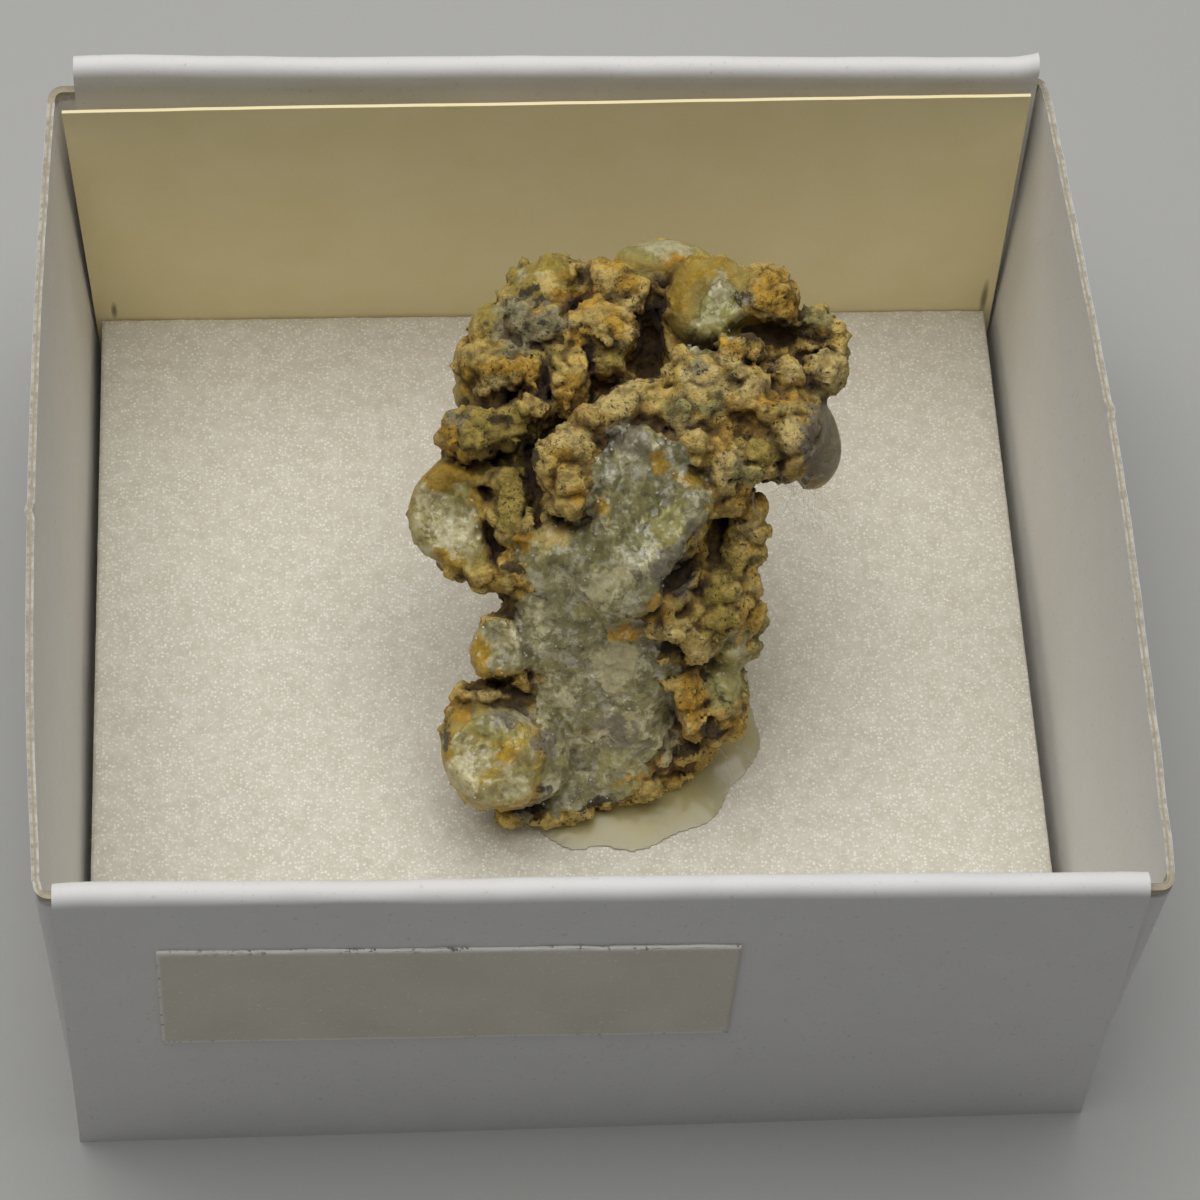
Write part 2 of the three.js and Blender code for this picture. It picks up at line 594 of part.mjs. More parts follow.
// A cell whose inside corners, or outside corners, don't hang together would pinch the surface to a
// point or an edge: such cells are filled, which opens no gap and closes none of any size.
function mendPinches({ value, n, at }) {
  let mended = false;
  forCells(n, 0, (i, j, k) => {
    const cellIndex = CORNERS.map(([a, b, c]) => at(i + a, j + b, k + c));
    const inside = cellIndex.map((index) => value[index] < 0);
    if (hangTogether(inside, true) && hangTogether(inside, false)) return;
    const outside = cellIndex.filter((index) => value[index] >= 0);
    const nearest = outside.reduce((best, index) => (value[index] < value[best] ? index : best));
    value[nearest] = FILLED;
    mended = true;
  });
  return mended;
}

function hangTogether(inside, kind) {
  const start = inside.indexOf(kind);
  if (start < 0) return true;
  const seen = new Set([start]);
  const queue = [start];
  while (queue.length) {
    for (const next of NEXT_CORNERS[queue.pop()]) {
      if (inside[next] !== kind || seen.has(next)) continue;
      seen.add(next);
      queue.push(next);
    }
  }
  return seen.size === inside.filter((x) => x === kind).length;
}

// One short step along the field's slope brings a vertex onto the surface.
const SLOPE_STEP = 0.05;
const LEAST_STEEPNESS = 0.3;
const MOST_DRAW = 0.3; // of a cell

function drawnOnto(distance, p, cell) {
  const d = distance(...p);
  const slope = p.map((_, m) => {
    const ahead = [...p];
    ahead[m] += SLOPE_STEP;
    return (distance(...ahead) - d) / SLOPE_STEP;
  });
  const steepness = Math.max(slope[0] ** 2 + slope[1] ** 2 + slope[2] ** 2, LEAST_STEEPNESS);
  const most = MOST_DRAW * cell;
  return p.map((x, m) => x - Math.min(Math.max((d * slope[m]) / steepness, -most), most));
}

// A quad is split along its shorter diagonal.
function splitQuad([a, b, c, d], positions) {
  const point = (i) => new THREE.Vector3().fromArray(positions, 3 * i);
  const isShorter = point(a).distanceTo(point(c)) < point(b).distanceTo(point(d));
  return isShorter ? [a, b, c, a, c, d] : [a, b, d, b, c, d];
}

function stoneGeometry() {
  return surfaceOf(stoneDistance, STONE_LOW, STONE_HIGH, STONE_CELL);
}

function glueGeometry() {
  const [x, y] = GLUE_CENTRE;
  const out = GLUE_RADIUS + 2 * GLUE_CELL;
  const low = [x - out, y - out, FOAM_TOP - 2 * GLUE_CELL];
  const high = [x + out, y + out, FOAM_TOP + GLUE_RISE + 2 * GLUE_CELL];
  return surfaceOf(glueDistance, low, high, GLUE_CELL);
}

// ---------------------------------------------------------------- the part
const part = new THREE.Group();
part.add(piece("card_tray", trayGeometry(), "#c9c8c4", 0.85));
part.add(piece("foam_pad", foamGeometry(), "#cfc8b8", 0.95));
part.add(piece("name_card", nameCardGeometry(), "#cdbf8d", 0.8));
part.add(piece("number_label", labelGeometry(), "#d8d0b4", 0.8));

const leaning = new THREE.Group();
leaning.applyMatrix4(leanFrame);
leaning.add(piece("smithsonite", stoneGeometry(), "#9c8a55", 0.6));
part.add(leaning);
part.add(piece("glue_blob", glueGeometry(), "#8f8560", 0.25));

export default part;
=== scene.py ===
"""A smithsonite specimen fixed with hot glue on the foam floor of a small open card box. Blender 4.5, metres,
+Z up; the origin is the middle of the box's underside."""

import math

import bmesh
import bpy
import numpy as np
from mathutils import Euler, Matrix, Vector


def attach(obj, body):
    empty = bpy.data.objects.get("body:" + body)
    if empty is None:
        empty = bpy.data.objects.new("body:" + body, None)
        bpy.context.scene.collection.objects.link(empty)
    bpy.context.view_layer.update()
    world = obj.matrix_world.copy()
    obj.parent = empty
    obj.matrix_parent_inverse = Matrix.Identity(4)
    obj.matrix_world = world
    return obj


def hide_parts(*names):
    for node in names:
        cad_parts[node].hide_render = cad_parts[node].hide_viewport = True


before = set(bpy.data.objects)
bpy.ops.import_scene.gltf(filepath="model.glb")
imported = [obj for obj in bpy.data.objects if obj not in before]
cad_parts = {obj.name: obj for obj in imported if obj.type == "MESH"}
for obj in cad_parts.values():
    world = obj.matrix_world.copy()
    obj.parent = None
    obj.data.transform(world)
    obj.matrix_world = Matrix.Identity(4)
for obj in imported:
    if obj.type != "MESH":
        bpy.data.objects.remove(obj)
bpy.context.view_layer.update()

MM = 0.001

# ---------------------------------------------------------------- the stone's shape, in millimetres
# The stone leans back, so it is shaped in a leaning frame of its own: u to the right, v up along its broken
# face, w out of that face.
STONE_ORIGIN = (0.8, -3.85, 14.08)
STONE_LEAN_DEG = (34.37, -2.41, -2.73)
STONE_LOW, STONE_HIGH = np.array([-9.0, -11.0, -12.5]), np.array([11.5, 16.5, 4.5])  # its grid's corners
STONE_FOOT = 4.4  # the height of its flat underside, in the glue
FINE_CELL = 0.15

# Each row is a lump: its centre u, v, w, its half widths along u, v and w, and for a few its turn in degrees
# about w.
COLUMN = [
    (1.4, -4.9, -7.2, 3.6, 2.8, 2.6),  # the foot, in the glue
    (-1.5, -7.3, -6.4, 2.8, 1.4, 2.4), (-0.9, -5.3, -5.8, 3.9, 2.8, 3.6), (-0.5, -2.1, -4.2, 4.0, 3.2, 3.8),
    (0.2, 1.1, -2.4, 3.9, 2.8, 3.9), (1.2, -1.0, -5.0, 4.5, 3.8, 3.0), (0.8, 3.0, -3.2, 4.7, 3.6, 3.0),
    (-3.0, 4.0, -3.2, 3.0, 3.3, 1.7),
    (1.8, 8.2, -3.8, 6.2, 4.1, 2.6),  # the back of the head
    (5.6, 9.9, -3.0, 3.4, 2.2, 1.6), (-2.6, 9.2, -3.0, 3.2, 2.8, 2.0),
]
TONGUE = [
    (1.7, 3.7, 0.4, 2.15, 3.1, 2.2), (3.5, 3.8, 0.2, 1.1, 1.1, 1.7), (1.5, 6.0, 0.7, 1.0, 0.9, 1.5),
    (0.9, 1.7, 0.1, 2.0, 2.6, 1.5),  # where it runs into the face
]
CROWN = [
    (-1.9, 12.3, -2.4, 1.6, 1.4, 1.5), (-1.3, 12.8, -1.5, 0.55, 0.5, 0.6),
    (0.5, 12.2, -2.3, 1.3, 1.25, 1.5), (0.0, 12.9, -1.9, 0.65, 0.6, 0.7),
    (1.6, 12.1, -1.8, 0.85, 0.85, 1.0), (2.5, 13.3, -3.4, 2.1, 1.1, 1.4),
    (4.4, 11.7, -1.6, 1.9, 1.9, 1.9),  # the glassy olive block
    (6.5, 11.8, -1.2, 1.25, 1.35, 1.4), (8.4, 10.6, -1.8, 0.95, 0.9, 1.0), (9.2, 10.1, -1.8, 0.6, 0.8, 0.7),
    (8.8, 8.9, -0.9, 0.85, 0.95, 1.0), (-4.3, 10.7, -1.6, 0.95, 1.05, 1.1),
    (-4.0, 9.3, -1.0, 1.65, 1.1, 1.3), (-2.95, 9.1, -0.5, 0.95, 0.85, 1.0),
    (-5.1, 9.3, -2.6, 0.8, 1.2, 1.0), (-5.1, 8.2, -1.8, 0.75, 0.85, 0.9),
    (-2.4, 10.8, -1.7, 1.4, 1.25, 1.5), (-3.2, 11.6, -2.4, 1.0, 0.85, 1.0),
    (0.1, 10.6, -1.2, 1.2, 1.1, 1.4), (-1.0, 10.5, -0.6, 0.65, 0.6, 0.6), (0.8, 10.2, -0.4, 0.7, 0.65, 0.6),
    (0.3, 9.4, -0.9, 0.85, 0.75, 0.9), (-1.1, 8.4, -0.4, 0.7, 1.15, 1.0),
    (-1.4, 9.5, -0.6, 0.75, 0.65, 0.8), (-2.75, 7.7, -0.3, 0.9, 0.65, 0.9),
    (-4.3, 8.35, -0.4, 0.55, 0.5, 0.6), (-4.5, 6.65, -0.9, 1.65, 1.1, 1.4),
    (-5.75, 6.3, -1.3, 0.5, 0.75, 0.9), (-3.2, 6.7, -0.8, 1.05, 0.85, 1.1),
]
RIDGE = [
    (0.8, 7.6, 0.2, 1.3, 1.15, 1.3), (2.1, 7.7, 0.1, 1.15, 0.95, 1.2), (0.0, 6.8, 0.7, 1.25, 1.05, 1.3),
    (-1.2, 6.0, 1.0, 1.1, 0.95, 1.2), (-1.75, 5.7, 1.4, 0.8, 0.95, 0.9), (-1.05, 4.4, 1.0, 1.15, 1.35, 1.2),
    (-2.1, 4.8, 0.8, 0.55, 0.65, 0.6), (-0.4, 5.3, 1.1, 0.95, 0.95, 1.0),
]
RIGHT_SHOULDER = [
    (3.9, 7.7, -0.3, 1.6, 2.2, 1.8), (3.4, 9.2, -0.1, 0.95, 0.75, 1.0), (4.3, 8.5, 0.6, 0.85, 0.65, 0.9),
    (3.4, 7.2, 0.9, 0.8, 0.7, 0.8), (5.4, 9.9, 0.2, 0.95, 0.5, 0.8, -20),
    (5.4, 8.9, 0.2, 0.9, 0.45, 0.8, -15), (6.9, 6.9, -1.3, 2.2, 2.4, 2.1), (7.3, 8.8, 0.0, 0.65, 0.65, 0.7),
    (6.1, 8.4, 0.3, 0.65, 0.65, 0.7), (5.6, 7.8, 0.6, 0.75, 0.55, 0.7), (6.6, 7.3, 0.6, 0.6, 0.55, 0.6),
    (7.5, 6.3, 0.3, 0.85, 0.95, 0.8), (5.7, 5.4, 0.5, 0.85, 0.85, 0.9), (6.5, 5.2, 0.1, 0.5, 0.75, 0.7, 20),
    (3.5, 5.9, 0.8, 1.2, 1.0, 1.2), (4.8, 5.2, 0.4, 1.1, 1.05, 1.2), (5.1, 4.2, -0.1, 0.95, 0.85, 1.1),
]
CLEAR_LOBES = [
    (8.5, 6.2, -2.2, 1.1, 1.85, 1.5),  # grey-brown, at the right
    (-6.05, 3.4, -1.5, 1.6, 1.95, 1.1),  # the pale disc at the left
    (-5.7, 5.0, -1.4, 1.1, 0.6, 1.0), (-5.4, 1.8, -1.6, 1.1, 0.95, 0.9), (-4.6, 1.1, -1.6, 0.85, 0.5, 0.7),
    (-3.95, -2.0, -2.2, 1.2, 1.4, 1.5),
    (-4.3, -6.2, -3.2, 2.0, 2.2, 1.8),  # the big one at the bottom left
    (-3.6, -7.4, -3.0, 1.15, 0.95, 1.3), (-2.7, -6.2, -3.9, 1.5, 2.0, 1.5),
]
LEFT_LEDGE = [
    (-3.75, 4.95, -1.4, 0.85, 0.85, 0.9), (-3.5, 3.35, -1.3, 0.95, 1.25, 1.1),
    (-2.4, 2.8, -0.8, 1.2, 0.75, 1.0), (-3.6, 1.0, -1.3, 0.65, 0.55, 0.7),
    (-4.6, -3.8, -3.3, 1.2, 0.5, 1.1), (-5.5, -4.6, -3.5, 0.75, 0.75, 0.9),
    (-6.0, -5.4, -3.3, 0.4, 0.5, 0.4),
]
RIGHT_FLANK = [
    (5.7, 3.7, -0.9, 0.8, 0.55, 1.0), (5.85, 2.75, -1.3, 0.8, 0.6, 1.0), (5.6, 2.0, -1.7, 0.75, 0.65, 1.0),
    (4.9, 0.2, -2.3, 1.25, 1.7, 1.6), (6.0, -0.8, -3.0, 0.5, 0.6, 0.6), (5.2, -1.6, -3.3, 1.0, 1.2, 1.4),
    (4.0, -0.9, -2.0, 1.05, 1.5, 1.3), (2.7, -1.2, -0.8, 1.05, 0.45, 0.9),
    (2.2, -0.4, -0.7, 0.65, 0.6, 0.8), (1.0, -1.0, -0.9, 0.75, 0.65, 0.7), (4.6, -3.6, -4.1, 1.2, 1.6, 1.5),
    (5.2, -4.0, -4.9, 0.7, 1.4, 1.1), (3.5, -3.6, -3.1, 0.6, 2.0, 0.9, 8),
    (4.7, -5.3, -5.2, 0.95, 0.45, 0.8), (3.5, -6.0, -5.5, 0.65, 0.5, 0.8),
    (1.4, -7.2, -5.3, 1.05, 0.45, 0.8), (-1.6, -8.4, -5.8, 1.5, 0.65, 1.0),
    (-3.4, -8.6, -5.0, 0.65, 0.45, 0.7),
]
HOLLOWS = [
    (1.95, 10.2, -0.8, 0.65, 1.2, 2.2),  # the deep dark hole in the head
    (1.85, 9.3, -0.9, 0.95, 0.85, 2.2),
    (7.2, 10.4, -0.2, 2.0, 0.7, 1.7, -6),  # under the upper right lump
    (0.1, 8.3, 0.5, 1.3, 0.45, 1.2, 35), (-2.0, 6.8, 0.4, 1.1, 0.42, 1.7, 58),
    (-2.8, 5.5, 0.0, 0.5, 1.5, 1.6), (-2.5, 3.9, 0.0, 0.45, 1.2, 1.4), (-4.0, 5.55, -0.2, 1.3, 0.38, 1.7),
    (-3.75, 8.0, 0.2, 0.8, 0.35, 0.8),
    (-4.2, -3.35, -2.2, 1.3, 0.25, 1.7, 10),  # the cleft between the two left lobes
    (2.3, -1.95, -0.7, 0.9, 0.35, 0.8), (6.7, 4.5, -0.3, 1.2, 0.45, 1.4),
    (3.5, 1.3, 0.3, 1.5, 0.5, 1.5, 46), (2.15, 11.9, -0.4, 0.3, 0.9, 1.3),
    (-0.75, 12.9, -1.0, 0.2, 0.6, 0.8),
    # wide shallow breaks: the tongue, the disc, the lobes and the glassy block
    (2.0, 3.6, 5.2, 3.3, 4.0, 3.7),
    (-6.2, 3.3, 2.2, 2.3, 2.7, 3.2), (-4.9, -5.8, 1.5, 2.6, 2.6, 3.7), (-3.4, -8.0, 0.4, 1.6, 1.5, 2.6),
    (-4.2, -2.0, 1.6, 1.8, 2.0, 3.2), (4.4, 11.6, 2.8, 2.3, 2.6, 3.1),
]

# The broken face cuts the column off in front, along the plane w = LEVEL + TILT * u + RISE * v.
FACE_LEVEL, FACE_TILT, FACE_RISE = -0.1, 0.12, 0.6
FACE_WAVES, FACE_WAVE_SIZE = 0.3, 1.6

# How softly neighbouring lumps run into each other.
COLUMN_BLEND, FACE_BLEND, TONGUE_BLEND, LUMP_BLEND, HOLLOW_BLEND = 1.2, 0.6, 0.6, 0.2, 0.25
HOLLOW_ROOM = 0.05  # taken off round each hollow, which the knobs on its walls fill again
FOOT_BLEND = 0.2
REWORKED = 0.3  # how far past a hollow or a knob the surface is worked over

LEAN = np.array(Euler([math.radians(a) for a in STONE_LEAN_DEG], "XYZ").to_matrix())


def from_stone(points):
    """Points given as u, v, w in millimetres, in the shared frame in metres."""
    return (points @ LEAN.T + STONE_ORIGIN) * MM


def smooth_min(a, b, blend):
    """The lower of two fields, with the crease between them rounded off over blend."""
    h = np.maximum(blend - np.abs(a - b), 0) / blend
    return np.minimum(a, b) - h * h * blend / 4


def smooth_max(a, b, blend):
    """The higher of two fields, joined in the same way."""
    return -smooth_min(-a, -b, blend)


def lump_distance(lump, u, v, w):
    """How far points are outside an ellipsoid, near enough for smooth joins."""
    cu, cv, cw, ru, rv, rw = lump[:6]
    turn = math.radians(lump[6]) if len(lump) > 6 else 0.0
    du, dv = u - cu, v - cv
    a = (du * math.cos(turn) + dv * math.sin(turn)) / ru
    b = (dv * math.cos(turn) - du * math.sin(turn)) / rv
    c = (w - cw) / rw
    reach = np.sqrt(a * a + b * b + c * c)
    slope = np.sqrt((a / ru) ** 2 + (b / rv) ** 2 + (c / rw) ** 2)
    return reach * (reach - 1) / np.maximum(slope, 1e-6)


WAVE_WAYS, WAVE_SHIFT = ((1.9, 0.7, -1.1), (0.8, -1.7, 1.3), (1.2, 1.0, 1.8)), 1.3


def unevenness(u, v, w, wave):
    """Soft waves in three crossed directions, between -1 and 1."""
    waves = ((x * u + y * v + z * w) / wave for x, y, z in WAVE_WAYS)
    a, b, c = (np.sin(way + m * WAVE_SHIFT) for m, way in enumerate(waves))
    return (a * b + b * c + c * a) / 3 + (a + b + c) / 6


def face_distance(u, v, w):
    """How far points are in front of the broken face."""
    waves = FACE_WAVES * unevenness(u, v, 0 * u, FACE_WAVE_SIZE)
    rise = FACE_LEVEL + FACE_TILT * u + FACE_RISE * v + waves
    return (w - rise) / math.hypot(1, FACE_RISE, FACE_TILT)


CELL_PRIMES, SEED_PRIME = (73856093, 19349663, 83492791), 2654435761
STIRS = ((13, 1274126177), (15, 2246822519))  # shifts and factors that mix the bits of a cell's number


def hashed(cells, seed):
    """A number from 0 to 1 for each whole-numbered cell, always the same one for the same cell and seed."""
    a, b, c = (cells[..., m] * prime for m, prime in enumerate(CELL_PRIMES))
    n = a ^ b ^ c ^ (seed + 1) * SEED_PRIME
    for shift, factor in STIRS:
        n = (n ^ (n >> shift)) * factor & 0xFFFFFFFF
    return (n >> 8 & 0xFFFF) / 0xFFFF


def noise(points, size, seed):
    """Soft noise between -1 and 1, with lumps about size across."""
    at = points / size
    cell = np.floor(at).astype(np.int64)
    f = at - cell
    f = f * f * (3 - 2 * f)
    total = 0.0
    for corner in np.ndindex(2, 2, 2):
        share = np.prod(np.where(corner, f, 1 - f), axis=-1)
        total = total + share * hashed(cell + corner, seed)
    return 2 * total - 1


def rough(points, size, seed, octaves=3):
    """Noise with finer noise on it."""
    return sum(noise(points, size / 2**i, seed + i) / 2**i for i in range(octaves))


# ---------------------------------------------------------------- the stone's fine surface
EMPTY = 10.0  # the field's value far outside
BEND, BEND_WAVES = 0.14, (1.3, 1.1, 1.5)  # how far the lumps are bent out of shape, and over what lengths


class Field:
    """A distance field on a cubic grid in the stone's own frame."""

    def __init__(self, low, high, cell):
        self.low, self.cell = low, cell
        counts = np.ceil((high - low) / cell).astype(int) + 1
        self.axes = [low[m] + cell * np.arange(counts[m]) for m in range(3)]
        self.value = np.full(counts, EMPTY)
        u, v, w = np.meshgrid(*self.axes, indexing="ij")
        self.bent = [x + BEND * unevenness(u, v, w, wave) for x, wave in zip((u, v, w), BEND_WAVES)]

    def window(self, lump, margin):
        """The part of the grid that a lump reaches, as slices, and that part's bent u, v and w."""
        wide = [max(lump[3], lump[4])] * 2 + [lump[5]] if len(lump) > 6 else lump[3:6]
        slices = []
        for axis, centre, half in zip(self.axes, lump[:3], wide):
            first = np.searchsorted(axis, centre - half - margin - BEND)
            last = np.searchsorted(axis, centre + half + margin + BEND)
            slices.append(slice(first, max(last, first + 1)))
        part = tuple(slices)
        return part, *(x[part] for x in self.bent)

    def add(self, lump, blend, margin=0.5):
        part, u, v, w = self.window(lump, margin + blend)
        self.value[part] = smooth_min(self.value[part], lump_distance(lump, u, v, w), blend)

    def carve(self, lump, blend, wider=0.0):
        part, u, v, w = self.window(lump, blend + wider + REWORKED)
        hollow = wider - lump_distance(lump, u, v, w)
        self.value[part] = smooth_max(self.value[part], hollow, blend)

    def near(self, reach):
        """The whole-numbered places and the points of the grid that lie within reach of the surface."""
        places = np.argwhere(np.abs(self.value) < reach)
        return places, self.low + places * self.cell

    def raise_by(self, reach, rise):
        """Lifts the surface by rise(points), looking at the points within reach of it."""
        places, points = self.near(reach)
        self.value[tuple(places.T)] -= rise(points)

    def at(self, points):
        """The field's value at any points, between the grid's own."""
        where = np.clip((points - self.low) / self.cell, 0, np.array(self.value.shape) - 1.001)
        cell = where.astype(int)
        f = where - cell
        total = 0.0
        for corner in np.ndindex(2, 2, 2):
            share = np.prod(np.where(corner, f, 1 - f), axis=-1)
            total = total + share * self.value[tuple((cell + corner).T)]
        return total


def surface_of(field):
    """Vertices and quads of the field's surface: a vertex in each cell that it crosses, a quad across each
    crossed grid edge."""
    value = field.value
    inside = value < 0
    size = np.array(value.shape) - 1

    def corner(grid, c):
        return grid[c[0] : c[0] + size[0], c[1] : c[1] + size[1], c[2] : c[2] + size[2]]

    corners = list(np.ndindex(2, 2, 2))
    count = sum(corner(inside, c).astype(np.int8) for c in corners)
    crossed = (count > 0) & (count < 8)
    place = np.argwhere(crossed)
    number = np.full(crossed.shape, -1)
    number[crossed] = np.arange(len(place))
    total, crossings = np.zeros((len(place), 3)), np.zeros(len(place))
    for a in corners:
        for m in range(3):
            if a[m]:
                continue
            b = tuple(1 if n == m else a[n] for n in range(3))
            va, vb = corner(value, a)[crossed], corner(value, b)[crossed]
            cut = (va < 0) != (vb < 0)
            t = np.where(cut, va / np.where(cut, va - vb, 1), 0)
            total += cut[:, None] * (np.array(a, float) + t[:, None] * np.eye(3)[m])
            crossings += cut
    vertices = field.low + field.cell * (place + total / crossings[:, None])
    quads = []
    for m in range(3):
        b, c = (m + 1) % 3, (m + 2) % 3
        here, ahead = [slice(1, -1)] * 3, [slice(1, -1)] * 3
        ahead[m] = slice(2, None)
        cut = np.argwhere(inside[tuple(here)] != inside[tuple(ahead)]) + 1
        ring = []
        for step_b, step_c in ((0, 0), (1, 0), (1, 1), (0, 1)):
            at = cut.copy()
            at[:, b] -= step_b
            at[:, c] -= step_c
            ring.append(number[tuple(at.T)])
        ring = np.stack(ring, 1)
        turned = ~inside[tuple(cut.T)]
        ring[turned] = ring[turned][:, ::-1]
        quads.append(ring)
    return vertices, np.concatenate(quads)


def main_body(vertices, quads):
    """Only what hangs together with the largest part, without loose crumbs."""
    label = np.arange(len(vertices))
    while True:
        lower = label.copy()
        np.minimum.at(lower, quads.ravel(), np.repeat(label[quads].min(axis=1), 4))
        lower = lower[lower]
        if (lower == label).all():
            break
        label = lower
    keep = label == np.bincount(label).argmax()
    number = np.cumsum(keep) - 1
    return vertices[keep], number[quads[keep[quads[:, 0]]]]


def stone_field():
    """The stone as a field: the column cut off by the broken face, with its lumps, hollows and knobs."""
    field = Field(STONE_LOW, STONE_HIGH, FINE_CELL)
    u, v, w = field.bent
    for lump in COLUMN:
        field.add(lump, COLUMN_BLEND)
    field.value = smooth_max(field.value, face_distance(u, v, w), FACE_BLEND)
    for lump in TONGUE:
        field.add(lump, TONGUE_BLEND)
    for group in (CROWN, RIDGE, RIGHT_SHOULDER, LEFT_LEDGE, CLEAR_LOBES, RIGHT_FLANK):
        for lump in group:
            field.add(lump, LUMP_BLEND)
    for hollow in HOLLOWS:
        field.carve(hollow, HOLLOW_BLEND, HOLLOW_ROOM)
    for size, height, seed in KNOB_SIZES:
        field.raise_by(height + REWORKED, lambda points: knobs(points, size, height, seed))
    u, v, w = (axis.reshape([-1 if m == n else 1 for n in range(3)]) for m, axis in enumerate(field.axes))
    height = STONE_ORIGIN[2] + LEAN[2, 0] * u + LEAN[2, 1] * v + LEAN[2, 2] * w
    field.value = smooth_max(field.value, STONE_FOOT - height, FOOT_BLEND)
    return field


def mesh_piece(name, vertices, faces, **marks):
    """A smooth mesh object of vertices in metres and faces, with a number on each vertex for each mark."""
    mesh = bpy.data.meshes.new(name)
    mesh.from_pydata(vertices.tolist(), [], faces)
    mesh.polygons.foreach_set("use_smooth", [True] * len(mesh.polygons))
    mesh.update()
    for mark, values in marks.items():
        layer = mesh.attributes.new(mark, "FLOAT", "POINT")
        layer.data.foreach_set("value", values.astype(np.float32))
    made = bpy.data.objects.new(name, mesh)
    bpy.context.scene.collection.objects.link(made)
    return made


# ---------------------------------------------------------------- where the stone's finishes lie
# Patches are written like the lumps. Sugary: broken crystal faces. Glassy: waxy clear lobes.
SUGARY = [
    (1.6, 3.7, 2.4, 2.3, 2.9, 2.4),  # the tongue
    (1.3, 6.3, 2.2, 0.9, 0.8, 1.6), (3.6, 3.9, 1.6, 1.0, 1.1, 1.6), (1.1, 1.4, 1.3, 2.1, 2.4, 1.8),
    (-0.9, 1.4, 0.4, 2.5, 1.9, 1.6),  # the broken face, from top to bottom
    (-0.6, -1.4, -1.2, 3.1, 2.6, 1.9), (0.4, -4.4, -3.0, 3.2, 2.6, 2.0), (-1.2, -6.6, -4.3, 3.2, 2.0, 2.0),
    (-4.2, -2.3, -1.4, 1.3, 1.4, 1.4),
    (-4.3, -6.4, -1.8, 1.9, 1.9, 1.3),  # the big lobe at the bottom left
    (4.9, 11.2, -0.2, 0.9, 1.3, 1.6),  # the glassy block in the head
    (4.1, 10.4, -0.1, 0.8, 0.8, 1.4),
    (-6.0, 3.0, -0.9, 1.6, 1.8, 1.0),  # the pale disc
    (-3.0, 1.9, -0.3, 0.8, 0.7, 0.8), (5.1, -2.6, -2.4, 1.0, 1.5, 1.4),
]
GLASSY = [
    (8.7, 6.0, -1.6, 1.4, 2.1, 1.8), (-6.1, 3.3, -1.3, 1.8, 2.2, 1.4), (4.6, 11.7, -0.8, 1.9, 2.0, 1.8),
    (2.6, 13.6, -3.0, 2.4, 1.1, 2.2), (-4.5, -6.4, -2.4, 2.2, 2.3, 2.0), (5.1, -2.4, -2.8, 1.0, 1.4, 1.4),
    (-6.0, 9.4, -2.9, 0.6, 1.3, 1.2), (-5.8, 5.1, -1.0, 1.2, 0.7, 1.2), (-5.5, 1.7, -1.2, 1.1, 0.7, 1.2),
    (-2.3, 12.6, -1.8, 1.4, 1.1, 1.4), (-4.6, 11.1, -1.8, 0.7, 0.8, 1.2), (-5.2, 8.2, -1.9, 0.8, 0.9, 1.2),
    (-5.2, -2.3, -1.8, 0.8, 1.3, 1.4),
]

